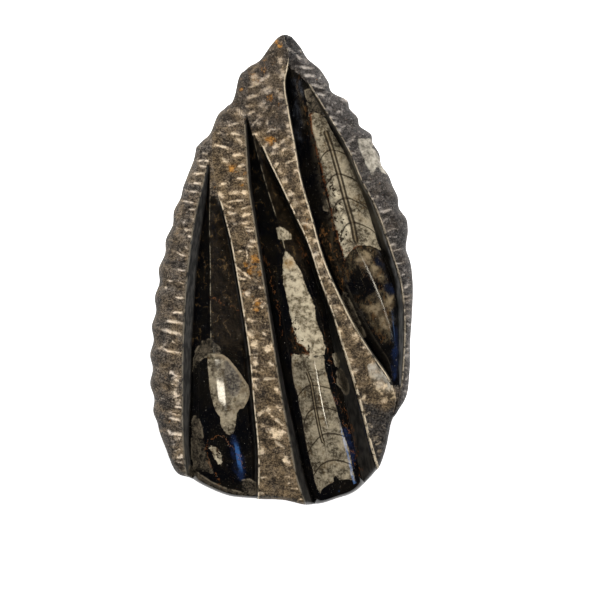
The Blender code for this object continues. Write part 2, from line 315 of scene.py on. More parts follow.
# %% Distance to the channel edges
def nearest(x, y, points):
    """Distance of every grid point to the nearest of the points."""
    tree = kdtree.KDTree(len(points))
    for number, point in enumerate(points):
        tree.insert((point[0], point[1], 0.0), number)
    tree.balance()
    found = [tree.find((a, b, 0.0))[2] for a, b in zip(x.ravel(), y.ravel())]
    return np.array(found).reshape(x.shape)


def close_row(x, y):
    """The same line with its points a fraction of a millimetre apart."""
    finer = np.linspace(0, len(x) - 1, 4 * len(x))
    known = np.arange(len(x))
    return list(zip(np.interp(finer, known, x), np.interp(finer, known, y)))


OPEN_SHARE = 0.12
arris = []
for number, (x, y, depth, share) in enumerate(lines):
    if number % 5 in (0, 1) and 0 < number < len(lines) - 1:
        arris += close_row(x[share > OPEN_SHARE], y[share > OPEN_SHARE])
edge_gap = np.minimum(nearest(grid_x, grid_y, arris), FAR) * np.where(side == 0, 1, -1)
crests = []
for number in (3, 8):     # the third shell is cut flat and shows no line at its crest
    x, y, depth, share = lines[number]
    crests += close_row(x[share > OPEN_SHARE], y[share > OPEN_SHARE])
crest_gap = np.minimum(nearest(grid_x, grid_y, crests), FAR) * np.where(side < 0, -1, 1)
print("arris points:", len(arris), " crest points:", len(crests))

# %% [markdown]
# ## Chisel strikes
#
# The ridges and the rim were dressed with a small chisel, held square to the channel edges.
# Most strikes start at a channel edge and run a few millimetres into the standing stone, and
# each one crushes the dark stone white and leaves a short shallow groove.  The plainest ones
# give this slab its look, so they are listed one by one.  The rest are set along the edges and
# over the ridges with a seeded random jitter, so that they fall in no regular pattern but come
# out the same on every run.  Each strike is kept as numbers here and is used twice, once for
# the groove and once for the pale mark.

# %% Strikes
DRESSING = [  # lengths and widths are halves, and until is how far up the edge the work goes
    dict(band=0, side=1, until=0.1, pitch=4.6, lengths=(2.6, 5.0), widths=(0.5, 0.9),
         strengths=(0.5, 1.2)),
    dict(band=5, side=0, until=0.08, pitch=4.8, lengths=(1.6, 3.6), widths=(0.7, 1.4),
         strengths=(0.5, 1.2)),
    dict(band=5, side=1, until=0.08, pitch=4.4, lengths=(2.0, 4.6), widths=(0.5, 1.0),
         strengths=(0.5, 1.2)),
    dict(band=10, side=0, pitch=4.2, lengths=(1.4, 3.4), widths=(0.8, 1.6), strengths=(0.6, 1.3)),
    dict(band=10, side=1, pitch=4.4, lengths=(1.4, 3.4), widths=(0.8, 1.6), strengths=(0.5, 1.3)),
    dict(band=15, side=0, pitch=5.2, lengths=(2.4, 4.8), widths=(0.5, 0.9), strengths=(0.5, 1.1))]
LOOSE_STRIKES = 80
HEAD_STRIKES = 18         # a few more over the head, between the listed ones
HEAD_FROM = 62.0
MAX_BEND = 0.9
LISTED_STRIKES = [  # from x, y to x, y, half width and strength
    (-28.5, 102.4, -22.1, 97.8, 0.8, 1.3), (-30.2, 99.4, -23, 96.9, 0.5, 1.1),
    (-21.6, 98.7, -15.7, 101.5, 0.7, 1.2), (-22.5, 103.8, -16.1, 104.5, 0.8, 1),
    (-21.6, 109.6, -13.8, 111.2, 0.8, 1.2), (-19.3, 117, -13.8, 118.5, 0.8, 1.2),
    (-10.7, 114.2, -5.2, 117, 1, 1.2), (-10.7, 101, -7.9, 104.7, 0.9, 0.9),
    (-33.9, 91.5, -22.1, 94.6, 0.6, 1.2), (-18.9, 91.5, -12.5, 97.8, 0.5, 1),
    (-41.7, 86.4, -31.9, 85.6, 0.4, 0.9), (-31.6, 86.9, -26.2, 85.5, 1, 1.2),
    (-18.4, 86, -9.6, 87.8, 0.8, 1.3), (-10.2, 87.5, 0.3, 90.1, 0.5, 1.1),
    (-28, 83.2, -22.5, 78.7, 1.1, 1.1), (-42.6, 79.6, -30.7, 76.4, 0.7, 1.3),
    (-0.6, 80.9, 6.6, 84.6, 0.8, 1.2), (-3.4, 74.1, 5.7, 73.2, 0.4, 1.1),
    (0.3, 76, 5.7, 77.3, 0.7, 1), (-30.7, 72.8, -23, 73.7, 1, 1.1),
    (-37.6, 71.4, -33, 66.4, 1.1, 1.2), (-27.1, 65.9, -21.6, 67.3, 0.8, 1.2),
    (-52.6, 69.6, -45.3, 69.1, 0.6, 1.2), (-51.7, 65.9, -46.2, 65, 0.6, 1.1),
    (-54.4, 61.3, -48, 61.8, 0.8, 1.2), (-28, 58.2, -21.6, 57.7, 0.8, 1.2),
    (-33.4, 49.5, -21.6, 48.1, 1.1, 1), (-49.8, 74.6, -46.2, 73.7, 0.9, 0.9),
    (-58.1, 50, -50.8, 49, 0.6, 1.1), (-55.8, 55.4, -49.8, 55, 0.6, 1.1),
    (2.1, 67.3, 9.4, 70, 0.8, 1.1), (-14.3, 119.8, -7.1, 123.4, 0.7, 1.2),
    (3.8, 141.5, 8.9, 138.3, 0.8, 1.1), (9.6, 136.4, 14, 134.5, 0.8, 1),
    (12.8, 129.4, 21.1, 128.1, 0.8, 1.2), (14.7, 124.3, 21.7, 123, 0.8, 1.2),
    (19.8, 117.9, 28.1, 115.3, 0.7, 1.2), (23, 112.1, 28.7, 110.9, 0.7, 1.2),
    (29.3, 103.2, 31.9, 101.3, 0.8, 1), (31.3, 97.5, 35.7, 96.2, 0.8, 1.1),
    (33.2, 93, 37.6, 92.4, 0.7, 1.1), (35.1, 89.2, 38.9, 87.9, 0.8, 1),
    (40.8, 79, 43.4, 77.7, 0.8, 1), (44.7, 74.5, 47.9, 73.2, 0.7, 1),
    (-25.5, 133.8, -21.7, 135.1, 0.6, 0.9), (-18.5, 127.4, -14.7, 130, 0.6, 0.8),
    (-55.5, 61.7, -48.5, 61.1, 0.7, 1.2), (-55.5, 55.3, -49.8, 54.1, 0.6, 1.2),
    (-61.2, 50.2, -52.3, 49.3, 0.5, 1.1), (-63.8, 44.2, -53, 41.9, 0.5, 1.1),
    (-58.7, 38.8, -53, 38.4, 0.6, 1.1), (-56.8, 34.3, -54.9, 27.9, 0.9, 0.8),
    (-61.2, 25.7, -56.1, 25.4, 0.8, 1.1), (-58.7, 21.5, -56.8, 20.9, 0.8, 1.2),
    (-60.6, 14.5, -58.7, 12.6, 0.7, 1.1), (-65.7, 10.4, -59.3, 8.1, 0.5, 1.1),
    (-65.7, 0.2, -60, -0.8, 0.7, 1.2), (-71.8, -6.5, -68.3, -7.5, 0.5, 1.1),
    (-65.1, -7.6, -60.6, -9.1, 0.4, 1), (-73.4, -11, -72.7, -12.9, 0.6, 1),
    (-67, -17.4, -60.9, -18, 0.7, 1.2), (-68.6, -26.7, -61.9, -27.1, 0.7, 1.3),
    (-72.7, -32.1, -61.2, -34, 0.9, 1.3), (-73.6, -38.4, -62.3, -41.6, 0.9, 1.3),
    (-69.1, -45.5, -67.2, -46.7, 0.5, 1), (-78.2, -49.5, -72.7, -50.1, 0.4, 1.1),
    (-73.6, -51.2, -62.7, -53.1, 0.8, 1.2), (-70.4, -65, -68.3, -65.4, 0.8, 1.4),
    (-69.1, -66.3, -62.7, -68.2, 0.5, 1.1), (-69.4, -72.9, -63.6, -72.4, 0.4, 0.9),
    (-68.8, -80.9, -63.4, -79.9, 0.5, 1), (-67.5, -86.4, -62.7, -87.6, 0.6, 1.2),
    (-76.6, -81.6, -72.6, -82.4, 0.4, 0.9), (-70.8, -93.7, -62.7, -95.5, 0.8, 1.3),
    (-70.4, -90.9, -64.4, -92.7, 0.6, 1.1), (-71.8, -101.9, -69.1, -105.4, 0.8, 1.2),
    (-68.3, -104.2, -62.3, -104.6, 1, 1.3), (-39.4, 48.5, -35.7, 45.3, 1.1, 1.2),
    (-33.9, 43, -21.1, 44.5, 0.6, 1.2), (-24.9, 49.6, -20.2, 48.1, 1.3, 1.2),
    (-37.6, 42.1, -30.2, 38.5, 0.6, 1.1), (-24.9, 38.9, -18.9, 40.5, 0.6, 1.2),
    (-33.9, 35.8, -28.5, 35.6, 0.9, 1.3), (-24.9, 34.4, -18.5, 35.6, 0.9, 1.3),
    (-32.5, 31.7, -28.9, 31.2, 1, 0.9), (-25.3, 29.4, -17.5, 30.5, 0.7, 1.2),
    (-23, 27.1, -16.6, 26.2, 0.6, 1.1), (-22.1, 24.8, -16.6, 24.8, 0.6, 1.2),
    (-19.8, 18.4, -15.3, 17.5, 1, 1.1), (-21.1, 14.8, -14.7, 15.2, 0.9, 1.2),
    (-21.7, 13, -21.1, 5.6, 0.5, 1), (-27.5, 11.8, -23, 12.2, 0.6, 1.1),
    (-29.3, 2.5, -23.6, -2.1, 0.5, 1.2), (-24.2, -1.8, -18.5, -6.2, 0.6, 1.2),
    (-28.5, 0.2, -24.9, -4.8, 0.5, 0.9), (-27.5, -5.3, -21.7, -6.2, 0.6, 1.1),
    (-22.1, -13.5, -20.2, -17.1, 1.5, 1.2), (-24.3, -25.3, -22.5, -26.3, 1, 1.1),
    (-21.1, -31.7, -17.5, -32.6, 1, 1.2), (-13.8, -10.8, -11.1, -11.6, 0.8, 1.1),
    (-13, -23.5, -10.2, -22.5, 0.9, 1.1), (-20.4, -39, -16.7, -42.7, 1.6, 1.3),
    (-12.1, -39.9, -8.5, -41.6, 1, 1), (-18.9, -47.2, -14.4, -47.2, 1.4, 1.4),
    (-10.3, -50.8, -4.5, -48.6, 1.8, 1.3), (-19.4, -53.6, -12.2, -53.4, 0.6, 1),
    (-18.7, -58.4, -14.4, -58.9, 0.5, 0.9), (-18.5, -63.1, -14, -64.5, 0.6, 1.1),
    (-7.7, -58.2, -4.8, -61.8, 1, 1.1), (-18.5, -69.1, -13.5, -69.5, 0.8, 1.1),
    (-11.2, -69.1, -2.1, -69.5, 0.9, 1.2), (-17.6, -71.8, -14.9, -77.3, 0.9, 1.1),
    (-3.9, -74.6, -0.3, -79.9, 0.9, 1.2), (-14.9, -92.7, -9.4, -88.2, 1, 1.2),
    (-3, -86.3, 0.6, -89.1, 1.4, 0.9), (-8.5, -90.1, -3.9, -94.6, 0.6, 1.1),
    (-3.9, -94.6, 3.4, -100.1, 0.9, 1.3), (-5.7, -104.6, 4.3, -102.8, 1.7, 1.3),
    (-3.9, -109.2, 3.4, -113.7, 1, 1.3), (1.5, -119.2, 6.1, -124.6, 1.4, 1.3)]
WORKED_TO = 0.97          # how far up an edge the work goes where until isn't given
END_OVERRUN = 0.6         # a listed strike reaches this far past each end
rng = np.random.default_rng(17)


def place_in_band(band, v, s):
    """Point at fraction v along a band and s across it, its width there and its heading."""
    first, last = lines[band], lines[band + 1]
    row = int(np.clip(v * ROWS, 1, ROWS - 1))
    place = [first[n][row] + (last[n][row] - first[n][row]) * s for n in (0, 1)]
    run = [first[n][row + 1] + last[n][row + 1] - first[n][row - 1] - last[n][row - 1]
           for n in (0, 1)]
    over = [last[n][row] - first[n][row] for n in (0, 1)]
    width = abs(over[0] * run[1] - over[1] * run[0]) / math.hypot(*run)
    return place, width, math.atan2(run[1], run[0]) - math.pi / 2


def strike(place, heading, half_length, half_width, strength):
    """A strike's centre, direction, half length, half width, bend and strength."""
    return (*place, math.cos(heading), math.sin(heading), half_length, half_width,
            rng.uniform(-MAX_BEND, MAX_BEND), strength)


strikes = []
for row in DRESSING:
    band, side_of_band = row["band"], row["side"]
    edge_line = lines[band + side_of_band]
    length = abs(edge_line[1][-1] - edge_line[1][0])
    for v in np.arange(0.02, row.get("until", WORKED_TO), row["pitch"] / length):
        v += rng.uniform(-0.45, 0.45) * row["pitch"] / length
        width = place_in_band(band, v, 0.5)[1]
        half_length = min(rng.uniform(*row["lengths"]), width * 0.46)
        closed = 1 - edge_line[3][int(v * ROWS)]
        stray = rng.uniform(-0.4, 1.0) + closed * rng.uniform(0, width / 2)
        s = (half_length + stray) / max(width, 1.0)
        place, width, heading = place_in_band(band, v, abs(side_of_band - s))
        heading += math.pi * side_of_band + rng.normal(0, 0.2 + 0.5 * closed)
        strikes.append(strike(place, heading, half_length, rng.uniform(*row["widths"]),
                              rng.uniform(*row["strengths"])))
for number in range(LOOSE_STRIKES):
    band = rng.choice([0, 5, 10, 15], p=[0.25, 0.4, 0.25, 0.1])
    place, width, heading = place_in_band(band, rng.uniform(0.03, 0.97), rng.uniform(0.1, 0.9))
    if width > 5:
        strikes.append(strike(place, heading + rng.normal(0, 0.5), rng.uniform(1.5, 4.0),
                              rng.uniform(0.6, 1.1), rng.uniform(0.2, 0.85)))
for number in range(HEAD_STRIKES):
    x, y = rng.uniform(-55, 8), rng.uniform(HEAD_FROM, 146)
    leaning = 0.3 - 0.9 * float(ease((-18 - x) / 24))
    strikes.append(strike((x, y), rng.normal(leaning, 0.22), rng.uniform(2.6, 6.5),
                          rng.uniform(0.4, 0.8), rng.uniform(0.3, 0.8)))
for x1, y1, x2, y2, half_width, strength in LISTED_STRIKES:
    heading = math.atan2(y2 - y1, x2 - x1)
    half_length = math.hypot(x2 - x1, y2 - y1) / 2 + END_OVERRUN
    strikes.append(strike(((x1 + x2) / 2, (y1 + y2) / 2), heading, half_length, half_width,
                          strength))
print("chisel strikes:", len(strikes))

# %% Groove and bruise of every strike
groove = np.zeros_like(grid_x)
bruise = np.zeros_like(grid_x)
REACH = 11.0              # a strike marks only points this near its middle in x and in y
BRUISE_SPREAD = 0.62      # a bruise is wider than its groove
FADE = 0.45               # how much weaker a strike is at its far end
for x, y, cos_h, sin_h, half_length, half_width, bend, strength in strikes:
    near = (np.abs(grid_x - x) < REACH) & (np.abs(grid_y - y) < REACH)
    dx, dy = grid_x[near] - x, grid_y[near] - y
    along = (dx * cos_h + dy * sin_h) / half_length
    across = (dy * cos_h - dx * sin_h - bend * along ** 2) / half_width
    force = strength * (1 - FADE * np.clip((along + 1) / 2, 0, 1))
    groove[near] = np.maximum(groove[near], np.exp(-along ** 4 - across ** 2) * force)
    spread = np.exp(-along ** 4 - (across * BRUISE_SPREAD) ** 2) * force
    bruise[near] = np.maximum(bruise[near], spread)
print("deepest strike:", round(float(groove.max()), 2))

# %% [markdown]
# ## Height of the face
#
# The height is the ridge level, less the channel's depth, plus what the chisel left: broad
# lumps, rows of tool bites, the strike grooves and fine broken grain.  The face
# rounds over towards the outline.  Ground parts keep none of the chisel work.  The shells are
# bowed a little along their length, as ground cones are, and this also gathers the light into
# one short streak on each.

# %% Heights
RIDGE_TOP = 38.0
HEAD_DROP = 7.0
HEAD_DROP_FROM = 85.0
HEAD_DROP_RUN = 65.0
SHOULDER_WIDTH = 7.5
FOOT_SHOULDER = 4.0
SHOULDER_LEVEL = 20.0
SHOULDER_KEEP = 0.55
LUMP_SIZE = 11.0
LUMP_HEIGHT = 0.8
NOTCH_PITCH = 13.0
NOTCH_DEPTH = 0.9
NOTCH_LEAN = 0.35
GROOVE_DEPTH = 0.75
CRISP_EDGE = 0.35         # share of the chisel work that an arris itself takes
CRISP_RUN = 1.2           # distance from it at which the work is at full strength
GRAINS = [(4.2, 0.5), (2.1, 0.34), (1.2, 0.22)]     # size and height of the broken grain


def lumps(x, y, size, seed):
    """Smooth noise from -1 to 1 over the whole grid."""
    points = zip(x.ravel() / size, y.ravel() / size)
    return np.array([noise.noise(Vector((a, b, seed))) for a, b in points]).reshape(x.shape)


def shoulder(x, y):
    """Share of its height that the face keeps near the outline."""
    across = [np.linspace(side[0][0], side[-1][0], ROWS) for side in (HEAD, FOOT)]
    around = close_row(lines[0][0], lines[0][1]) + close_row(lines[-1][0], lines[-1][1])
    around += close_row(across[0], head_at(across[0]))
    foot = close_row(across[1], foot_at(across[1]))
    away = np.minimum(nearest(x, y, around) / SHOULDER_WIDTH, nearest(x, y, foot) / FOOT_SHOULDER)
    return SHOULDER_KEEP + (1 - SHOULDER_KEEP) * np.sqrt(1 - (1 - np.minimum(away, 1)) ** 2)


rough = 1 - polish
bites = np.maximum(0.0, np.sin(2 * math.pi * (grid_y + NOTCH_LEAN * grid_x) / NOTCH_PITCH))
chiselled = lumps(grid_x, grid_y, LUMP_SIZE, 3.0) * LUMP_HEIGHT - bites * NOTCH_DEPTH
for number, (size, height) in enumerate(GRAINS):
    chiselled += lumps(grid_x, grid_y, size, 7.0 + number) * height
chiselled -= groove * GROOVE_DEPTH
crisp = ease(edge_gap / CRISP_RUN) * (edge_gap > 0) + (polish < 0.02) * (edge_gap <= 0)
top = RIDGE_TOP - HEAD_DROP * ease((grid_y - HEAD_DROP_FROM) / HEAD_DROP_RUN)
kept = np.where(edge_gap > 0, CRISP_EDGE + (1 - CRISP_EDGE) * crisp, 1)
face_height = top + relief + chiselled * rough * kept
keep = shoulder(grid_x, grid_y)
grid_z = SHOULDER_LEVEL + (face_height - SHOULDER_LEVEL) * keep
print("face between", round(float(grid_z.min()), 1), "and", round(float(grid_z.max()), 1), "mm")

# %% [markdown]
# ## The slab's mesh
#
# The mesh starts as a plain grid whose vertices are then moved onto the columns and rows.
# Its open border is extruded down in narrow bands to make the broken sides, and a last face
# closes the back, which is where the block was sawn.  Extruding keeps the whole stone one
# closed skin.  Each border vertex first learns how far round the outline it is, so that the
# sides can be laid out flat later.

# %% Face
SIDE_DROPS = [(0.86, 0.10), (0.70, 0.22), (0.54, 0.34), (0.38, 0.46), (0.20, 0.54), (0.0, 0.6)]
LOWER_DROPS = [(8.4, 1.0), (5.8, 1.6), (3.2, 2.3), (1.2, 2.8), (0.0, 3.2)]
SIDE_LEVEL = 11.0
SIDE_LUMPS = [(11.0, 0.8), (5.0, 0.6), (2.2, 0.35)]
SIDE_SQUASH = 1.4         # the lumps of the side are this much flatter than wide
BACK_EDGE_LUMPS = 0.25    # share of the lumps that the back's edge keeps

bm = bmesh.new()
around_layer = bm.verts.layers.float.new("around")
column_layer = bm.verts.layers.int.new("column")
row_layer = bm.verts.layers.int.new("row")
bmesh.ops.create_grid(bm, x_segments=ACROSS, y_segments=ROWS, size=0.5)
for vert in bm.verts:
    j = round((vert.co.x + 0.5) * ACROSS)
    i = round((vert.co.y + 0.5) * ROWS)
    vert[column_layer], vert[row_layer] = j, i
    vert.co = (grid_x[j, i] - ORIGIN[0], grid_y[j, i] - ORIGIN[1], grid_z[j, i])

# %% Sides and back
def walk_border(bm):
    """Give each border vertex its distance round the outline, in order."""
    border = [edge for edge in bm.edges if edge.is_boundary]
    vert = min((v for edge in border for v in edge.verts), key=lambda v: v.co.y)
    edge, total = None, 0.0
    for step in range(len(border)):
        vert[around_layer] = total
        edge = next(e for e in vert.link_edges if e.is_boundary and e is not edge)
        vert = edge.other_vert(vert)
        total += (edge.verts[0].co.xy - edge.verts[1].co.xy).length
    return total


def drop(bm, level_of, inset):
    """Extrude the border down to a new level, a little further in."""
    border = [edge for edge in bm.edges if edge.is_boundary]
    grown = bmesh.ops.extrude_edge_only(bm, edges=border)["geom"]
    for vert in [item for item in grown if isinstance(item, bmesh.types.BMVert)]:
        j, i = vert[column_layer], vert[row_layer]
        rim = Vector((grid_x[j, i] - ORIGIN[0], grid_y[j, i] - ORIGIN[1], 0.0))
        z = level_of(grid_z[j, i])
        lump = 0.0
        for size, height in SIDE_LUMPS:
            lump += max(0.0, noise.noise(Vector((rim.x, rim.y, z * SIDE_SQUASH)) / size)) * height
        at_back = BACK_EDGE_LUMPS if z == 0.0 else 1.0
        vert.co = rim - rim.normalized() * (inset + lump * at_back)
        vert.co.z = z


perimeter = walk_border(bm)
for share, inset in SIDE_DROPS:
    drop(bm, lambda z: SIDE_LEVEL + (z - SIDE_LEVEL) * share, inset)
for level_mm, inset in LOWER_DROPS:
    drop(bm, lambda z: level_mm, inset)
back = bmesh.ops.contextual_create(bm, geom=[e for e in bm.edges if e.is_boundary])["faces"]
print("perimeter", round(perimeter), "mm, back face with", len(back[0].verts), "corners")

# %% [markdown]
# The finishes can later be baked into images, so each face needs a place of its own in one flat
# layout: the carved face seen from above, the back beside it, and the sides as three upright
# strips.  The layout is drawn to one scale in millimetres, with the back smaller because it is
# plain.  A stone has no seams of its own, so most cuts follow the outline, where a change of
# grain is least seen.

# %% Flat layout
SHEET = 338.0             # millimetres across the whole layout
MARGIN = 3.0
BACK_SCALE = 0.43
STRIPS = 3
STRIP_WIDTH = 42.0
STRIPS_FROM = 175         # where the strips start across the layout
BACK_MIDDLE = (242, 299)
FACE_MIDDLE = (84, 150.5)
strip_length = perimeter / STRIPS
layout = bm.loops.layers.uv.new("OFBake")


def side_place(face, loop):
    """Place of one corner of a side face in the strips."""
    spans = [corner.vert[around_layer] for corner in face.loops]
    turn = perimeter if max(spans) - min(spans) > perimeter / 2 else 0.0
    spans = [span + turn if span < perimeter / 2 else span for span in spans]
    strip = min(int(min(spans) / strip_length), STRIPS - 1)
    around = loop.vert[around_layer]
    around += turn if around < perimeter / 2 else 0.0
    return (STRIPS_FROM + strip * (STRIP_WIDTH + MARGIN) + loop.vert.co.z,
            MARGIN + around - strip * strip_length)


face_count = ACROSS * ROWS
bm.faces.ensure_lookup_table()
for face in bm.faces:
    for loop in face.loops:
        co = loop.vert.co
        if face is back[0]:
            place = (BACK_MIDDLE[0] - co.y * BACK_SCALE, BACK_MIDDLE[1] + co.x * BACK_SCALE)
        elif face.index < face_count:
            place = (MARGIN + FACE_MIDDLE[0] + co.x, MARGIN + FACE_MIDDLE[1] + co.y)
        else:
            place = side_place(face, loop)
        loop[layout].uv = (place[0] / SHEET, place[1] / SHEET)
used = [loop[layout].uv for face in bm.faces for loop in face.loops]
print("layout spans", [round(max(uv[n] for uv in used), 3) for n in (0, 1)])

# %% [markdown]
# The mesh is in millimetres until here.  It is scaled to metres once, its faces are turned
# outwards, and edges sharper than 50 degrees stay sharp, so the arrises catch the light while
# the broken stone between them shades softly.  The dressed slab then stands for the solid.

# %% Finish the mesh
BACK_SLOT = 1
SHARP_ANGLE = 50
back[0].material_index = BACK_SLOT
bmesh.ops.triangulate(bm, faces=back)
bmesh.ops.scale(bm, vec=(MM, MM, MM), verts=bm.verts)
bmesh.ops.recalc_face_normals(bm, faces=bm.faces)
mesh = bpy.data.meshes.new("carved_slab")
bm.to_mesh(mesh)
bm.free()
stone = bpy.data.objects.new("carved_slab", mesh)
bpy.context.collection.objects.link(stone)
mesh.shade_smooth()
mesh.set_sharp_from_angle(angle=math.radians(SHARP_ANGLE))
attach(stone, "root")
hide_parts(NODE)
print("triangles:", sum(len(polygon.vertices) - 2 for polygon in mesh.polygons))

# %% [markdown]
# ## What the stone shows
#
# The ground faces cut through the shells, so their inside shows as a pattern: pale calcite
# that filled the chambers, dark mud that filled the rest, grey scraps of shell, rusty seams
# and thin veins.  Each kind is drawn here as outlines in plan, in millimetres, as they lie on
# this slab.  A drawing like this could be an image, but outlines stay sharp at any distance
# and can be moved point by point.

# %% Calcite
CALCITE = {
    "left cap": [(-46.8, -53.5), (-42.6, -53.5), (-37.0, -53.9), (-33.2, -56.9), (-28.9, -62.0),
                 (-24.6, -68.0), (-20.8, -74.0), (-19.7, -78.3), (-20.8, -82.5), (-23.8, -88.5),
                 (-26.3, -88.5), (-28.1, -91.9), (-28.9, -98.7), (-30.2, -103.9),
                 (-33.2, -105.6), (-36.2, -103.0), (-38.3, -98.7), (-38.7, -93.6),
                 (-41.7, -89.4), (-44.3, -81.7), (-45.6, -74.8), (-46.0, -67.1), (-46.8, -59.5)],
    "left shard": [(-45.9, -112.4), (-40.8, -113.3), (-37.9, -118.4), (-37.0, -125.2),
                   (-39.6, -123.9), (-42.7, -119.5)],
    "middle head": [(-2.9, 26.6), (-0.6, 27.9), (2.4, 26.0), (5.7, 23.4), (6.9, 19.6),
                    (2.6, 18.7), (-1.9, 19.6)],
    "middle cloud": [(2.6, 12.3), (5.1, 10.0), (9.6, 4.3), (12.8, -2.1), (15.3, -8.5),
                     (17.5, -14.2), (19.8, -19.3), (21.7, -23.8), (22.3, -32.1), (24.2, -37.2),
                     (26.5, -42.3), (28.4, -49.9), (27.8, -54.7), (19.1, -54.7), (14.7, -49.3),
                     (10.2, -45.5), (8.6, -41.0), (7.3, -33.3), (5.1, -24.4), (3.8, -17.4),
                     (1.9, -9.7), (1.1, -0.2), (1.3, 7.5)],
    "middle chambers": [(6.7, -53.8), (7.0, -63.7), (8.5, -72.8), (11.0, -80.8), (11.4, -85.0),
                        (13.5, -94.2), (15.9, -109.4), (17.1, -115.6), (20.2, -127.8),
                        (21.4, -133.9), (23.2, -139.4), (25.1, -142.4), (26.3, -139.4),
                        (30.6, -136.3), (33.6, -135.1), (33.6, -130.8), (35.5, -132.0),
                        (37.3, -133.9), (41.5, -133.3), (45.2, -133.9), (47.7, -135.1),
                        (47.0, -132.0), (45.8, -127.8), (45.2, -124.8), (43.4, -114.4),
                        (41.5, -109.4), (39.1, -102.7), (37.3, -96.1), (35.5, -89.4),
                        (34.2, -84.4), (31.8, -77.7), (29.9, -69.8), (28.1, -63.7),
                        (27.4, -55.0), (22.3, -55.7), (16.6, -53.8)],
    "middle chip": [(32.3, -53.8), (35.1, -52.9), (37.5, -58.2), (37.6, -63.3), (34.5, -61.4)],
    "right chambers": [(18.4, 98.5), (19.1, 96.7), (19.7, 88.9), (22.0, 81.8), (23.4, 72.6),
                       (25.6, 67.5), (26.6, 60.9), (28.5, 53.1), (30.5, 46.6), (31.8, 39.4),
                       (34.3, 28.6), (36.9, 20.0), (38.8, 13.5), (40.8, 6.2), (42.7, 10.2),
                       (45.3, 12.9), (49.3, 15.5), (57.0, 15.5), (63.9, 12.3), (60.9, 20.0),
                       (57.7, 31.7), (55.3, 39.4), (51.3, 51.1), (46.1, 63.5), (42.2, 71.9),
                       (36.4, 81.8), (31.8, 89.5), (28.6, 96.0), (25.5, 99.0), (21.5, 100.2)],
}
print("calcite outlines:", len(CALCITE))

# %% Grey shell
GREY_SHELL = {
    "left arch": [(-56.4, -64.6), (-55.8, -56.0), (-53.7, -50.1), (-50.3, -45.8),
                  (-46.8, -43.9), (-43.8, -44.9), (-40.8, -47.9), (-37.5, -51.8),
                  (-38.3, -53.5), (-46.0, -53.5), (-46.8, -55.2), (-50.3, -56.5),
                  (-53.7, -60.3), (-55.8, -65.4)],
    "left pebbles": [(-55.4, -92.8), (-52.8, -94.5), (-50.7, -99.6), (-49.4, -108.2),
                     (-47.7, -116.7), (-45.1, -124.4), (-43.4, -129.5), (-46.0, -129.5),
                     (-51.1, -127.8), (-54.9, -127.8), (-57.1, -120.1), (-57.1, -104.7),
                     (-56.7, -96.2)],
    "left foot": [(-24.9, -134.1), (-19.8, -133.5), (-15.3, -136.7), (-16.0, -143.1),
                  (-21.1, -144.3), (-24.9, -139.9)],
    "middle oval": [(35.5, -65.2), (37.6, -62.7), (40.2, -65.2), (42.7, -71.6), (43.4, -78.0),
                    (41.5, -80.5), (38.3, -75.4), (36.0, -72.9)],
    "right tip": [(15.3, 114.0), (18.5, 115.2), (21.7, 112.6), (26.8, 105.0), (29.5, 98.5),
                  (24.9, 98.0), (20.4, 97.5), (18.2, 96.0), (17.2, 104.0)],
    "right strip": [(38.8, -14.2), (41.5, -14.8), (45.3, -22.5), (49.1, -30.8), (53.0, -39.7),
                    (54.2, -43.5), (51.7, -42.3), (47.2, -35.2), (42.7, -27.0), (39.6, -19.9)],
    "right oval": [(26.2, 44.5), (28.7, 44.5), (30.6, 40.0), (30.0, 37.5), (27.4, 38.1)],
    "foot bevel": [(-58.0, -124.5), (-52.0, -130.5), (-44.0, -135.5), (-36.0, -139.0),
                   (-26.0, -141.5), (-20.0, -143.0), (-20.0, -148.0), (-46.0, -143.0),
                   (-60.0, -133.0)],
}
print("grey shell outlines:", len(GREY_SHELL))

# %% Brown smoke in the dark stone, and bright clouds in it, partly a painted golden highlight
SMOKE = {
    "right flank": [(7.0, 123.0), (12.5, 121.0), (14.5, 108.0), (15.5, 94.0), (13.5, 82.0),
                    (9.0, 84.0), (8.0, 104.0)],
    "living arch": [(40.8, 4.9), (42.7, 10.0), (45.9, 12.9), (49.8, 15.2), (56.8, 15.2),
                    (62.5, 12.0), (65.0, 4.9), (66.5, -2.1), (67.6, -8.5), (65.8, -11.0),
                    (61.6, -7.0), (57.4, -1.5), (53.0, -1.0), (48.0, 0.5), (44.4, -1.5),
                    (43.2, -8.0), (41.0, -8.5), (39.9, -0.2)],
    "living floor": [(48.7, -20.0), (54.5, -18.0), (60.0, -14.0), (66.0, -11.0), (70.1, -16.4),
                     (72.0, -27.0), (71.4, -38.0), (69.4, -46.6), (66.0, -46.3), (60.3, -40.0),
                     (53.0, -30.0)],
}
# Pale clouds in the right shell, partly a painted golden highlight beside its streak.
PALE_CLOUDS_AND_GLOW = {
    "arch cloud": [(47.9, 4.9), (49.8, 10.0), (54.2, 12.0), (58.1, 9.4), (57.4, 4.9), (53.6, 1.8),
                   (49.1, 2.4)],
    "arch brown": [(58.1, 3.7), (62.5, 2.4), (65.1, -2.7), (63.8, -6.5), (60.6, -4.6),
                   (58.1, -0.2)],
    "right cloud": [(67.6, -14.8), (72.1, -16.1), (72.1, -22.5), (69.5, -25.7), (67.0, -21.9)],
    "floor cloud": [(54.2, -23.1), (59.3, -21.9), (63.2, -23.1), (68.3, -30.8), (69.5, -38.4),
                    (65.7, -37.2), (60.6, -30.8), (55.5, -27.0)],
}
print("smoke and cloud outlines:", len(SMOKE) + len(PALE_CLOUDS_AND_GLOW))
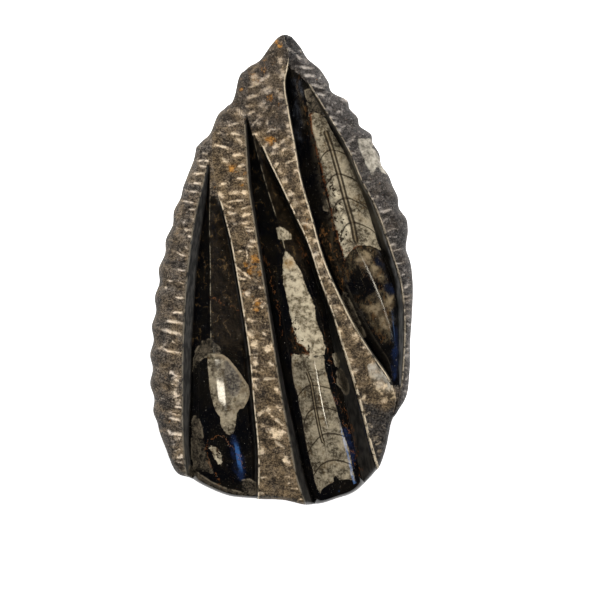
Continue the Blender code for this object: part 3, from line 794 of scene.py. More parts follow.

# %% Calcite with a painted sheen, painted blue reflections in the dark stone, and rust
# A blue-grey patch on the left cap, right of its streak: a painted sheen mirroring a dim sky.
SHEEN_ON_CALCITE = {
    "left clear": [(-36.0, -57.0), (-31.3, -58.5), (-28.0, -64.0), (-25.5, -72.0),
                   (-26.5, -80.0), (-30.5, -82.0), (-34.0, -76.0), (-36.0, -66.0)],
}
# Blue patches low on the flanks: a painted reflection of a blue window, laid into the stone.
BLUE_REFLECTIONS = {
    "living lens": [(58.7, 7.5), (61.2, 8.8), (65.1, 3.7), (65.7, -0.2), (63.2, 1.1), (59.9, 4.3)],
    "living side": [(65.7, -9.7), (70.2, -9.1), (72.1, -14.8), (69.5, -17.0), (66.3, -13.6)],
    "left foot": [(-31.5, -105.4), (-29.3, -106.1), (-27.2, -112.4), (-24.6, -120.1),
                  (-23.0, -129.7), (-23.8, -134.8), (-28.1, -133.8), (-30.6, -127.1),
                  (-31.5, -117.5)],
    "middle flank": [(38.3, -101.5), (44.0, -101.5), (47.2, -112.4), (48.5, -122.6),
                     (45.3, -126.4), (43.4, -118.7), (40.2, -109.1)],
    "middle strip": [(44.0, -78.6), (50.4, -78.6), (56.8, -98.4), (59.3, -115.6),
                     (52.3, -118.2), (48.5, -99.1)],
    "right foot": [(70.8, -36.5), (73.4, -36.5), (75.3, -49.2), (74.7, -61.4), (72.1, -70.3),
                   (70.8, -61.4), (71.4, -49.2)],
}
RUSTY = {
    "right border": [(17.0, 104.0), (18.4, 97.0), (19.0, 89.0), (21.4, 81.0), (22.8, 72.0),
                     (25.0, 67.0), (26.0, 60.0), (27.9, 52.5), (29.9, 46.0), (31.2, 39.0),
                     (33.7, 28.0), (36.3, 19.5), (35.0, 19.0), (32.0, 28.0), (29.5, 39.0),
                     (27.8, 46.0), (26.0, 52.5), (24.0, 60.0), (23.2, 67.0), (21.0, 72.0),
                     (19.8, 81.0), (17.4, 89.0), (16.8, 97.0)],
    "cloud pits": [(5.7, -38.4), (9.6, -36.5), (12.1, -42.3), (15.3, -46.7), (17.9, -51.2),
                   (17.2, -55.7), (12.1, -54.4), (7.7, -52.5), (6.4, -46.1)],
    "chamber pits": [(37.6, 20.9), (41.5, 21.5), (45.3, 20.3), (47.9, 17.1), (45.3, 13.2),
                     (42.1, 11.3), (38.9, 13.9)],
    "brown band": [(26.2, 30.5), (30.0, 31.1), (35.1, 19.0), (38.3, 9.4), (39.6, 1.1),
                   (40.8, -9.7), (42.1, -16.7), (38.3, -14.2), (34.5, -5.3), (30.6, 4.9),
                   (26.8, 15.8), (24.2, 24.1)],
}
print("clear, blue-black and rusty outlines:", len(SHEEN_ON_CALCITE) + len(BLUE_REFLECTIONS) + len(RUSTY))

# %% Veins, and patches of the rough stone
VEINS = {
    "left upper": [(-44.7, -18.0), (-37.6, -21.2), (-26.2, -25.7)],
    "left loop": [(-48.1, -109.9), (-46.0, -108.2), (-42.6, -106.1), (-39.2, -105.6),
                  (-35.7, -108.2), (-32.3, -112.4), (-28.9, -115.8), (-25.5, -121.0),
                  (-23.4, -128.7)],
    "left edge": [(-48.6, -109.9), (-47.3, -118.4), (-45.1, -124.4), (-42.6, -129.5),
                  (-39.2, -136.4)],
    "middle left": [(-10.7, 7.0), (-6.8, 0.5), (-6.1, -8.6), (-3.5, -20.3), (-0.3, -30.1),
                    (0.4, -41.8), (3.0, -43.1)],
    "middle right": [(33.8, -80.5), (35.5, -85.0), (41.5, -89.9), (43.4, -93.9), (45.2, -101.5),
                     (47.7, -109.4), (48.3, -118.0), (44.6, -115.6)],
    "middle seam": [(28.5, -42.0), (31.0, -55.0), (33.0, -68.0), (35.5, -80.0), (39.0, -88.0),
                    (40.5, -98.0), (43.5, -104.0)],
    "middle foot": [(47.7, -123.5), (51.3, -127.8), (50.1, -132.0)],
    "middle upper": [(10.8, 20.0), (15.3, 7.0), (21.9, 1.1)],
}
PALE_STONE = {
    "rim calcite": [(48.4, 83.0), (57.2, 83.7), (59.1, 77.8), (63.0, 71.9), (64.3, 66.2),
                    (67.6, 60.3), (64.3, 62.2), (61.1, 65.6), (57.8, 59.6), (55.3, 64.8),
                    (51.3, 73.3)],
    "ridge calcite": [(54.9, -60.6), (59.8, -58.8), (64.8, -64.9), (72.1, -77.1), (73.3, -82.0),
                      (70.2, -82.6), (65.3, -85.0), (62.3, -80.8), (58.6, -72.8), (55.6, -66.8)],
    "leaf": [(0.0, 127.4), (1.3, 130.0), (2.6, 127.4), (1.9, 122.3), (0.6, 123.0)],
}
PITTED = {
    "right chambers": [(24.5, 60.0), (27.9, 52.5), (29.9, 46.0), (31.2, 39.0), (33.7, 28.0),
                       (37.6, 15.0), (40.8, 6.2), (45.3, 14.0), (46.5, 22.0), (41.5, 33.0),
                       (38.0, 45.0), (34.0, 56.0), (28.5, 62.0)],
    "middle cloud": [(4.0, -26.0), (10.0, -30.0), (13.5, -40.0), (19.0, -47.0), (20.0, -57.0),
                     (7.0, -57.0), (6.0, -40.0)],
    "left shard": [(-48.0, -110.0), (-38.0, -111.0), (-34.0, -118.0), (-35.0, -128.0),
                   (-41.0, -128.0), (-46.0, -120.0)],
}
SHADE = {
    "right foot": [(49.0, -76.0), (53.0, -84.0), (61.0, -87.0), (66.0, -90.0), (78.0, -86.0),
                   (74.0, -108.6), (66.4, -130.0), (60.0, -136.0), (56.0, -112.0)],
    "apex": [(-0.5, 156.0), (6.0, 156.0), (12.5, 148.0), (13.5, 136.0), (6.0, 136.0),
             (1.0, 143.0)],
}
RUST_SPOTS = [  # x, y, radius, strength; orange on rough stone and honey on calcite
    (4.8, 3.6, 4.2, 1.0),
    (-7.0, 82.1, 2.9, 1.4), (-6.8, 109.6, 2.2, 0.9), (-1.5, 104.8, 1.6, 0.9),
    (-11.5, 127.1, 3.2, 0.5), (-17.9, 123.4, 3.2, 0.6), (-0.9, 142.4, 1.9, 0.9),
    (-3.1, 145.6, 1.9, 0.9), (-25.3, 114.9, 1.6, 0.9), (-13.1, 120.2, 1.6, 0.7),
    (-31.1, 64.3, 3.2, 0.9), (-23.7, 61.1, 1.9, 0.7), (-24.4, 53.2, 2.2, 0.8),
    (-16.4, 6.2, 3.8, 0.9), (-18.9, -0.5, 3.8, 0.8), (-13.4, -2.3, 2.6, 0.8),
    (-21.9, 3.2, 2.6, 0.8), (-21.9, -14.6, 2.6, 0.7), (-14.7, -21.2, 3.2, 0.9),
    (16.6, 27.9, 3.2, 0.8), (-16.0, -25.7, 2.6, 0.8), (-60.0, 70.0, 1.9, 0.5),
    (-10.8, 133.8, 2.6, 0.4)]
BRUISED_SPOTS = [  # x, y, radius in x and in y
    (-66.4, -69.1, 2.6, 5.7), (-67.0, -78.0, 2.6, 4.5), (-65.7, -84.4, 2.6, 3.2),
    (-36.4, 54.7, 3.8, 2.2), (-35.1, 69.4, 2.6, 1.9), (-16.6, -40.4, 3.8, 1.9),
    (-27.4, 48.9, 5.4, 1.7), (-16.0, -48.6, 2.6, 3.2), (-16.4, -58.6, 2.4, 4.6),
    (-6.4, -48.6, 1.9, 2.6), (-5.1, -102.2, 5.1, 3.2), (-2.6, -106.1, 5.7, 2.6),
    (-12.1, -115.0, 3.2, 3.8), (-8.3, -89.5, 3.8, 2.6),
    (48.5, 101.9, 2.6, 1.9), (40.8, 108.3, 2.6, 1.9), (54.2, -38.4, 3.2, 3.2),
    (40.8, -9.7, 2.6, 2.6), (45.3, -12.9, 3.2, 2.6), (60.6, -52.5, 2.6, 3.2)]
print("veins:", len(VEINS), " patches:", len(PALE_STONE) + len(PITTED) + len(SHADE),
      " spots:", len(RUST_SPOTS) + len(BRUISED_SPOTS))

# %% [markdown]
# Inside an orthoceras, thin walls called septa part the shell into chambers, and one tube, the
# siphuncle, runs through them all.  Both show as fine dark lines.  The septa are bowed towards
# the tip, so each point of a shell gets a chamber number that rises along the shell and falls
# off towards its flanks, and a wall shows wherever that number is whole.  Numbers between the
# grid's points blend smoothly, which lets a line be thinner than the grid's cells.

# %% Septa and siphuncle
SEPTA = [  # centre line, the y of its septa, bow to the left and right, and the y it spans
    dict(line=[(36, -143), (33, -122), (30.5, -104.5), (24.5, -88), (20.5, -73.8), (16, -55)],
         septa=[-121.2, -104.2, -87.6, -73.6], rise=(0.055, 0.022), range=(-138, -66)),
    dict(line=[(52, 14), (46.5, 28), (41.8, 43), (37, 60), (33, 75), (29, 90), (26, 104)],
         septa=[15.5, 30.0, 45.5, 60.8, 76.3], rise=(0.075, 0.042), range=(16, 84))]
SIPHUNCLES = [  # centre line and half width
    dict(line=[(17.1, -66.1), (19.3, -72.3), (20.9, -82.0), (21.9, -88.1), (23.5, -96.5),
               (25.1, -104.0), (26.6, -109.4)], half=0.75),
    dict(line=[(28.7, 87.2), (30.6, 82.1), (32.7, 75.8), (37.9, 57.3), (41.0, 45.1),
               (45.6, 29.5), (47.5, 19.0)], half=1.15)]
print("septa:", sum(len(shell["septa"]) for shell in SEPTA))

# %% [markdown]
# Each outline becomes a number on every vertex: how many millimetres the point lies inside it.
# A finish can then place a border anywhere by comparing that number with a little noise, which
# gives a stone-like edge that is still where it was drawn.

# %% Distances to outlines
co = np.empty(len(mesh.vertices) * 3)
mesh.vertices.foreach_get("co", co)
plan_x = co[0::3] / MM + ORIGIN[0]
plan_y = co[1::3] / MM + ORIGIN[1]


def to_segment(a, b):
    """Distance of every vertex to the segment, and which side of it the vertex is on."""
    run = np.subtract(b, a)
    dx, dy = plan_x - a[0], plan_y - a[1]
    t = np.clip((dx * run[0] + dy * run[1]) / (run @ run), 0, 1)
    side = np.sign(run[0] * dy - run[1] * dx)
    return np.hypot(dx - run[0] * t, dy - run[1] * t), side


def inside(outlines):
    """Millimetres that every vertex lies inside the nearest outline, negative outside."""
    best = np.full_like(plan_x, -FAR)
    for points in outlines:
        gap = np.full_like(plan_x, FAR)
        within = np.zeros(len(plan_x), bool)
        for a, b in zip(points, points[1:] + points[:1]):
            gap = np.minimum(gap, to_segment(a, b)[0])
            crosses = (a[1] > plan_y) != (b[1] > plan_y)
            reach = (b[0] - a[0]) * (plan_y - a[1]) / ((b[1] - a[1]) or 1e-9) + a[0]
            within ^= crosses & (plan_x < reach)
        best = np.maximum(best, np.where(within, gap, -gap))
    return best


def beside(points):
    """Signed distance of every vertex to an open line."""
    best = np.full_like(plan_x, FAR)
    for a, b in zip(points, points[1:]):
        gap, side = to_segment(a, b)
        best = np.where(gap < np.abs(best), gap * side, best)
    return best


POCKET_LEVEL = 27.0       # the rim's pale pocket narrows below this height
POCKET_TAPER = 0.5        # by this much for every millimetre down
marks = {"calcite": inside(CALCITE.values()), "grey_shell": inside(GREY_SHELL.values()),
         "rusty": inside(RUSTY.values()), "pale_stone": inside(PALE_STONE.values()),
         "painted_sheen": inside(SHEEN_ON_CALCITE.values()), "painted_blue_reflection": inside(BLUE_REFLECTIONS.values()),
         "pitted": inside(PITTED.values()), "shade": inside(SHADE.values()),
         "smoke": inside(SMOKE.values()), "cloud_and_painted_glow": inside(PALE_CLOUDS_AND_GLOW.values())}
marks["pale_stone"] -= np.maximum(0.0, POCKET_LEVEL - co[2::3] / MM) * POCKET_TAPER
marks["milky"] = inside([CALCITE["middle cloud"], CALCITE["middle head"]])
marks["vein"] = np.full_like(plan_x, FAR)
for points in VEINS.values():
    off = beside(points)
    marks["vein"] = np.where(np.abs(off) < np.abs(marks["vein"]), off, marks["vein"])
print("calcite covers", round(100 * float((marks["calcite"] > 0).mean()), 1), "% of vertices")

# %% Chambers, tube and spots
END_CHAMBER = 8           # half a chamber takes this length past the last septum at each end
CHAMBER_REACH = 20        # a shell's septa go no farther from its centre line than this
marks["chamber"] = np.full_like(plan_x, 0.5)
for shell in SEPTA:
    centre = smooth_curve(shell["line"], 1)(plan_y)
    off = plan_x - centre
    bow = np.where(off < 0, shell["rise"][0], shell["rise"][1]) * off * off
    walls = [shell["septa"][0] - END_CHAMBER, *shell["septa"], shell["septa"][-1] + END_CHAMBER]
    numbers = [-0.5, *range(len(shell["septa"])), len(shell["septa"]) - 0.5]
    number = np.interp(plan_y + bow, walls, numbers)
    low_y, high_y = shell["range"]
    here = (plan_y + bow > low_y) & (plan_y < high_y) & (np.abs(off) < CHAMBER_REACH)
    marks["chamber"] = np.where(here, number, marks["chamber"])
marks["siphuncle"] = np.full_like(plan_x, FAR)
for tube in SIPHUNCLES:
    off = beside(tube["line"]) / tube["half"]
    nearer = np.abs(off) < np.abs(marks["siphuncle"])
    marks["siphuncle"] = np.where(nearer, off, marks["siphuncle"])
marks["rust_spot"] = np.zeros_like(plan_x)
for x, y, radius, strength in RUST_SPOTS:
    spot = np.exp(-((plan_x - x) ** 2 + (plan_y - y) ** 2) / radius ** 2) * strength
    marks["rust_spot"] = np.maximum(marks["rust_spot"], spot)
RUST_BOTTOM = 16.0        # the spots soak in from the face and end at this height
RUST_SOAK = 9.0           # and reach full strength this far above it
marks["rust_spot"] *= np.clip((co[2::3] / MM - RUST_BOTTOM) / RUST_SOAK, 0.0, 1.0)

# %% [markdown]
# Some looks follow the grid rather than an outline.  The ridges differ in warmth, the right rim
# and the head are a darker stone, and each channel edge is worn pale to its own degree.  One
# number for each band or line of the grid says so, and the columns between two lines blend.

# %% Numbers from the grid
WARMTH = [0.5, *[0.6] * 4, 0.8, *[0.7] * 4, 0.8, *[0.45] * 4, 0.15]
DARKNESS = [0, *[0] * 9, 0.35, *[0] * 4, 0.75]      # the right rim is a darker stone
# The walls are painted lighter grey in places, a painted sheen for the sky they mirror.
WALL_SKY_SHEEN = [0, 0.22, 0, 0, 0.1, 0, 0.08, 0, 0, 0.05, 0, 0.1, 0, 0, 0, 0]
ARRIS_LIGHT = [0, 0.3, 0, 0, 0, 1, 0.3, 0, 0, 0, 1, 1.3, 0, 0, 0, 0.5, 0]   # one for every line
HEAD_COOLS = (62, 40, 0.2)       # y where the head turns cooler, over how far and by how much
HEAD_DARKENS = (74, 40, 1.0)     # the same for where it turns darker
SIDE_WARMTH = 0.4
SIDE_DUSK = 0.3
FACETED = [1] * 11 + [0] * 5     # the third shell is cut flat and has no facets
BRUISE_STRENGTH = 0.86
SKY_SHEEN_WALL = 14           # painted sky sheen along the top of the right shell's right wall
SKY_SHEEN_WIDTHS = [(-80, 1.5), (-60, 3.0), (-30, 3.6), (0, 2.8), (20, 1.7), (60, 1.2), (135, 0.7)]


def by_band(values):
    """One value for every column, from one for every band."""
    return np.array([level + values[band] for band, (kind, count) in enumerate(BANDS)
                     for step in range(count + (band == len(BANDS) - 1))])


indices = [np.empty(len(mesh.vertices), np.int32) for layer in range(2)]
mesh.attributes["column"].data.foreach_get("value", indices[0])
mesh.attributes["row"].data.foreach_get("value", indices[1])
on_face = np.arange(len(mesh.vertices)) < (ACROSS + 1) * (ROWS + 1)
at = (indices[0], indices[1])
for x, y, half_x, half_y in BRUISED_SPOTS:
    spot = np.exp(-(((grid_x - x) / half_x) ** 2 + ((grid_y - y) / half_y) ** 2))
    bruise = np.maximum(bruise, spot * BRUISE_STRENGTH)
marks["bruise"] = np.where(on_face, bruise[at], 0.0)
marks["polish"] = np.where(on_face, polish[at], 0.0)
marks["wall"] = np.where(on_face, wall[at], 0.0)
lit = by_band(WALL_SKY_SHEEN)
lit_width = stepped(SKY_SHEEN_WIDTHS, grid_y)
lit += by_band([n == SKY_SHEEN_WALL for n in range(len(BANDS))]) * ease((lit_width + edge_gap) / 0.5)
marks["wall_sky_sheen"] = np.where(on_face, lit[at], 0.0)
line_columns = np.cumsum([0, *[count for kind, count in BANDS]])
arris = np.interp(np.arange(ACROSS + 1), line_columns, ARRIS_LIGHT)
marks["arris"] = np.where(on_face, arris[indices[0]], 0.0)
marks["crest"] = np.where(on_face, crest_gap[at], FAR)
marks["facet"] = np.where(on_face, (sharp * by_band(FACETED))[at], 0.0)
warmth = by_band(WARMTH) - ease((grid_y - HEAD_COOLS[0]) / HEAD_COOLS[1]) * HEAD_COOLS[2]
dusk = by_band(DARKNESS) + ease((grid_y - HEAD_DARKENS[0]) / HEAD_DARKENS[1]) * HEAD_DARKENS[2]
marks["warm"] = np.where(on_face, warmth[at], SIDE_WARMTH)
marks["dusk"] = np.where(on_face, dusk[at], SIDE_DUSK)
marks["edge"] = np.where(on_face, edge_gap[at], FAR)
for name, values in marks.items():
    layer = mesh.attributes.new(name, "FLOAT", "POINT")
    layer.data.foreach_set("value", values.astype(np.float32))
for name in ("around", "column", "row"):
    mesh.attributes.remove(mesh.attributes[name])
print("numbers on each vertex:", sorted(marks))

# %% [markdown]
# ## Finishes
#
# A material in Blender is a graph of nodes.  Written out node by node it is long and hard to
# read, so one small class wraps a socket: arithmetic on it adds Math nodes, and its node
# method adds any other node.  A finish then reads like a recipe.

# %% Shader arithmetic
class Shade:
    """A socket of a material's nodes.  Arithmetic on it adds Math nodes."""

    def __init__(self, tree, socket=None):
        self.tree = tree
        self.socket = socket

    def node(self, kind, settings, inputs, output=0):
        """Add a node: its settings first, then the values or links of its sockets."""
        made = self.tree.nodes.new(kind)
        for name, setting in settings.items():
            setattr(made, name, setting)
        for name, value in inputs.items():
            if isinstance(value, Shade):
                self.tree.links.new(value.socket, made.inputs[name])
            else:
                made.inputs[name].default_value = value
        return Shade(self.tree, made.outputs[output])

    def math(self, operation, *values):
        """Add one Math node."""
        return self.node("ShaderNodeMath", {"operation": operation}, dict(enumerate(values)))

    def __add__(self, other):
        return self.math("ADD", self, other)

    def __sub__(self, other):
        return self.math("SUBTRACT", self, other)

    def __rsub__(self, other):
        return self.math("SUBTRACT", other, self)

    def __mul__(self, other):
        return self.math("MULTIPLY", self, other)

    __radd__ = __add__
    __rmul__ = __mul__

    def size(self):
        """The value without its sign."""
        return self.math("ABSOLUTE", self)

    def ramp(self, start, end):
        """0 below start and 1 above end, or the other way round, with a soft step between."""
        return self.node("ShaderNodeMapRange", {"interpolation_type": "SMOOTHSTEP"},
                         {"Value": self, "From Min": start, "From Max": end})

    def blend(self, first, second):
        """This mask's mix of two colours: the first at 0 and the second at 1."""
        inputs = {0: self, 6: first, 7: second}
        return self.node("ShaderNodeMix", {"data_type": "RGBA"}, inputs, 2)

    def pick(self, first, second):
        """This mask's mix of two numbers."""
        return self.node("ShaderNodeMix", {"data_type": "FLOAT"}, {0: self, 2: first, 3: second})


def mark(graph, name):
    """A number that the mesh carries on its vertices."""
    return graph.node("ShaderNodeAttribute", {"attribute_name": name}, {}, "Fac")


def grain(graph, size_mm, detail=2.0, roughness=0.5, stretch=(1, 1, 1)):
    """Soft noise from 0 to 1 whose lumps are about size_mm across."""
    place = graph.node("ShaderNodeTexCoord", {}, {}, "Object")
    if stretch != (1, 1, 1):
        place = graph.node("ShaderNodeMapping", {}, {"Vector": place, "Scale": stretch})
    return graph.node("ShaderNodeTexNoise", {},
                      {"Vector": place, "Scale": 1 / (size_mm * MM), "Detail": detail,
                       "Roughness": roughness})


def crystals(graph, size_mm, feature="DISTANCE_TO_EDGE"):
    """Cells of about size_mm, as the distance to the nearest cell border."""
    place = graph.node("ShaderNodeTexCoord", {}, {}, "Object")
    return graph.node("ShaderNodeTexVoronoi", {"feature": feature},
                      {"Vector": place, "Scale": 1 / (size_mm * MM)})


def rgb(red, green, blue):
    """A colour given as a painter reads it off a chart, 0 to 255, as Blender's linear RGBA."""
    parts = [n / 255 for n in (red, green, blue)]
    return (*[p / 12.92 if p <= 0.04045 else ((p + 0.055) / 1.055) ** 2.4 for p in parts], 1.0)


def finish(name, recipe):
    """A material whose recipe gives colour, roughness and height in millimetres."""
    material = bpy.data.materials.new(name)
    material.use_nodes = True
    tree = material.node_tree
    surface = tree.nodes["Principled BSDF"]
    graph = Shade(tree)
    colour, gloss, height = recipe(graph)
    bump = graph.node("ShaderNodeBump", {}, {"Height": height, "Distance": MM})
    tree.links.new(colour.socket, surface.inputs["Base Color"])
    tree.links.new(gloss.socket, surface.inputs["Roughness"])
    tree.links.new(bump.socket, surface.inputs["Normal"])
    print(name, "has", len(tree.nodes), "nodes")
    return material


# %% [markdown]
# The rough limestone is brown-grey with a salt-and-pepper grain, and darker at the apex and at
# the right corner of the foot.  Chisel strikes crush it to a warm white, and the arris along
# each channel is worn as pale.  Iron has stained it orange in spots.  Two scraps of pale calcite
# show at the right, and a small leaf of it near the top.  Noise of several sizes, laid from dark
# to pale, mixes all this without an image.

# %% Chiselled stone
def chiselled_stone(graph):
    """Rough limestone with its strikes, stains, dark patches and pale scraps."""
    patches = grain(graph, 8.0, 3.0, 0.6)
    salt = grain(graph, 1.4, 4.0, 0.75)
    fine = grain(graph, 0.7, 2.0, 0.7)
    fibre = grain(graph, 1.5, 4.0, 0.7, stretch=(0.4, 1.0, 1.0))
    blotch = grain(graph, 4.5, 4.0, 0.65)
    stone_tone = (salt * 0.5 + fine * 0.2 + patches * 0.15 + blotch * 0.15).ramp(0.42, 0.59)
    warm = (mark(graph, "warm") + (patches - 0.5) * 1.2).ramp(0.0, 1.0)
    dark_tone = warm.blend(rgb(32, 31, 31), rgb(34, 27, 20))
    light_tone = warm.blend(rgb(110, 106, 102), rgb(128, 110, 84))
    dusk = (mark(graph, "dusk") + (patches - 0.5) * 0.8).ramp(0.0, 1.0)
    light_tone = dusk.blend(light_tone, warm.blend(rgb(86, 82, 79), rgb(96, 83, 65)))
    colour = stone_tone.blend(dark_tone, light_tone)
    colour = (blotch.ramp(0.46, 0.38) * 0.55).blend(colour, rgb(36, 31, 26))
    pits = grain(graph, 2.2, 2.0, 0.6).ramp(0.37, 0.31)
    colour = (pits * 0.8).blend(colour, rgb(20, 18, 17))
    shade = (mark(graph, "shade") + (blotch - 0.5) * 10).ramp(-2.5, 2.5)
    shade_tone = salt.ramp(0.42, 0.62).blend(rgb(16, 16, 18), rgb(72, 71, 70))
    colour = (shade * 0.85).blend(colour, shade_tone)
    stain = mark(graph, "rust_spot") + (grain(graph, 2.4, 4.0, 0.75) - 0.5) * 3.0
    stain = stain.ramp(0.35, 0.85)
    stain_tone = salt.ramp(0.4, 0.6).blend(rgb(112, 74, 32), rgb(182, 128, 54))
    colour = (stain * 0.8).blend(colour, stain_tone)
    pale = (mark(graph, "pale_stone") + (blotch - 0.5) * 3).ramp(-0.3, 0.4)
    torn = mark(graph, "shade").ramp(-16.0, -8.0)
    pale_tone = grain(graph, 2.4, 4.0, 0.65) * 0.5 + blotch * 0.5
    pale_tone = torn.pick(pale_tone.ramp(0.32, 0.62), pale_tone.ramp(0.46, 0.56))
    pale_tone = torn.blend(pale_tone.blend(rgb(74, 68, 58), rgb(186, 180, 166)),
                           pale_tone.blend(rgb(66, 56, 42), rgb(178, 158, 126)))
    colour = (pale * 0.9).blend(colour, pale_tone)
    flecks = (fibre * 0.5 + salt * 0.5).ramp(0.56, 0.66)
    fleck_tone = warm.blend(rgb(166, 160, 154), rgb(190, 168, 136))
    colour = (flecks * (1 - shade * 0.7) * 0.6).blend(colour, fleck_tone)
    bruised = mark(graph, "bruise")
    halo = (bruised * 1.2 + (salt - 0.5) * 1.6).ramp(0.15, 0.8)
    halo_tone = warm.blend(rgb(136, 130, 124), rgb(152, 130, 100))
    colour = (halo * (1 - shade) * 0.5).blend(colour, halo_tone)
    crushed = (bruised + (fibre - 0.5) * 1.7 + (salt - 0.5) * 1.6).ramp(0.5, 0.95)
    crushed = crushed * bruised.ramp(0.02, 0.2) * (1 - shade * 0.6)
    crushed_tone = warm.blend(rgb(206, 198, 190), rgb(220, 200, 168))
    crushed_tone = dusk.blend(crushed_tone, warm.blend(rgb(170, 163, 155), rgb(170, 152, 124)))
    colour = (crushed * 0.9).blend(colour, crushed_tone)
    worn = mark(graph, "edge").size().ramp(1.0, 0.45) * grain(graph, 3.0, 2.0).ramp(0.38, 0.48)
    colour = (worn * mark(graph, "arris") * 0.9).blend(colour, rgb(214, 199, 172))
    gloss = crushed.pick(0.72, 0.9)
    height = salt * 0.55 + fine * 0.25 - pits * 0.25
    return colour, gloss, height


# %% [markdown]
# The ground stone is nearly black and polished.  Calcite is cloudy and pale with fine cracks
# and brown clouds, and rust has crept in along its borders.  Lines are laid last: the septa,
# the two sides of the siphuncle, the veins and the worn arris.  The recipe is cut in three, one
# for the dark stone, one for the calcite and one that lays the second over the first.

# %% Dark ground stone
def dark_stone(graph, cloud, speckle, threads):
    """Black mudstone; brown right facets and blue low down are painted reflections; grey walls."""
    crest = mark(graph, "crest")
    right_side = crest.ramp(-0.2, 0.3)
    facet = mark(graph, "facet")
    drift = grain(graph, 14.0, 2.0)
    black = drift.ramp(0.42, 0.6).blend(rgb(2, 2, 4), rgb(10, 8, 6))
    # The brown on the right facets and their brown haze is a painted reflection of warm
    # surroundings.
    brown = (speckle * 0.6 + cloud * 0.4).ramp(0.38, 0.62).blend(rgb(4, 3, 2), rgb(34, 27, 18))
    colour = (right_side * facet).blend(black, brown)
    haze = (cloud * 0.6 + speckle * 0.4).ramp(0.54, 0.7) * right_side.pick(0.2, 0.3)
    colour = haze.blend(colour, right_side.blend(rgb(42, 46, 53), rgb(58, 49, 36)))
    streaks = grain(graph, 2.0, 3.0, 0.6, stretch=(1.0, 0.3, 1.0))
    wisps = (streaks * 0.35 + cloud * 0.35 + speckle * 0.3).ramp(0.42, 0.62)
    smoke = (mark(graph, "smoke") + (cloud - 0.5) * 6).ramp(-1.2, 2.2)
    deep = mark(graph, "edge").ramp(-6.0, -10.0)
    smoke_tone = wisps.blend(deep.blend(rgb(12, 12, 14), rgb(24, 20, 15)),
                             deep.blend(rgb(50, 53, 59), rgb(78, 68, 50)))
    colour = (smoke * 0.9).blend(colour, smoke_tone)
    # Tan clouds, partly a painted golden highlight spread beside the right shell's streak.
    gold_and_painted_glow = (mark(graph, "cloud_and_painted_glow") + (speckle - 0.5) * 4 + (streaks - 0.5) * 4).ramp(-1.6, 1.8)
    gold_and_glow_tone = cloud.ramp(0.4, 0.6).blend(rgb(66, 56, 41), rgb(132, 117, 92))
    colour = (gold_and_painted_glow * 0.8).blend(colour, gold_and_glow_tone)
    ochre = mark(graph, "smoke").ramp(-5.0, -1.0) * deep * (threads - 0.5).ramp(0.05, 0.11)
    colour = (ochre * 0.25).blend(colour, rgb(104, 74, 42))
    # Painted reflection: blue patches of a window, laid into the stone's colour.
    blue_reflection_tone = cloud.ramp(0.36, 0.62).blend(rgb(9, 12, 21), rgb(17, 27, 52))
    blue_reflection_tone = (mark(graph, "smoke").ramp(-5.0, 0.0) * 0.85).blend(blue_reflection_tone, rgb(12, 14, 20))
    painted_blue_reflection = (mark(graph, "painted_blue_reflection") + (cloud - 0.5) * 5).ramp(-1.4, 1.4)
    colour = painted_blue_reflection.blend(colour, blue_reflection_tone)
    hairs = (grain(graph, 9.0, 3.0, 0.5) - 0.5).size().ramp(0.013, 0.004)
    hairs = hairs * cloud.ramp(0.46, 0.56) * facet
    colour = (hairs * 0.5).blend(colour, rgb(112, 90, 58))
    dust = grain(graph, 0.9, 2.0, 0.8).ramp(0.6, 0.68)
    colour = (dust * 0.25).blend(colour, rgb(76, 70, 58))
    colour = (grain(graph, 1.1, 2.0, 0.8).ramp(0.7, 0.74) * 0.8).blend(colour, rgb(150, 146, 134))
    # Grey walls; the lighter tone is a painted sky sheen on them.
    dark_wall = streaks.ramp(0.36, 0.64).blend(rgb(19, 18, 16), rgb(42, 39, 34))
    sky_sheen_wall = streaks.ramp(0.36, 0.64).blend(rgb(84, 85, 86), rgb(146, 146, 144))
    wall_tone = mark(graph, "wall_sky_sheen").blend(dark_wall, sky_sheen_wall)
    colour = mark(graph, "wall").blend(colour, wall_tone)
    ridge_line = crest.size().ramp(0.42, 0.12) * facet
    ridge_line = ridge_line * grain(graph, 5.0, 3.0, 0.7).ramp(0.42, 0.6)
    return (ridge_line * 0.75).blend(colour, rgb(160, 150, 128))


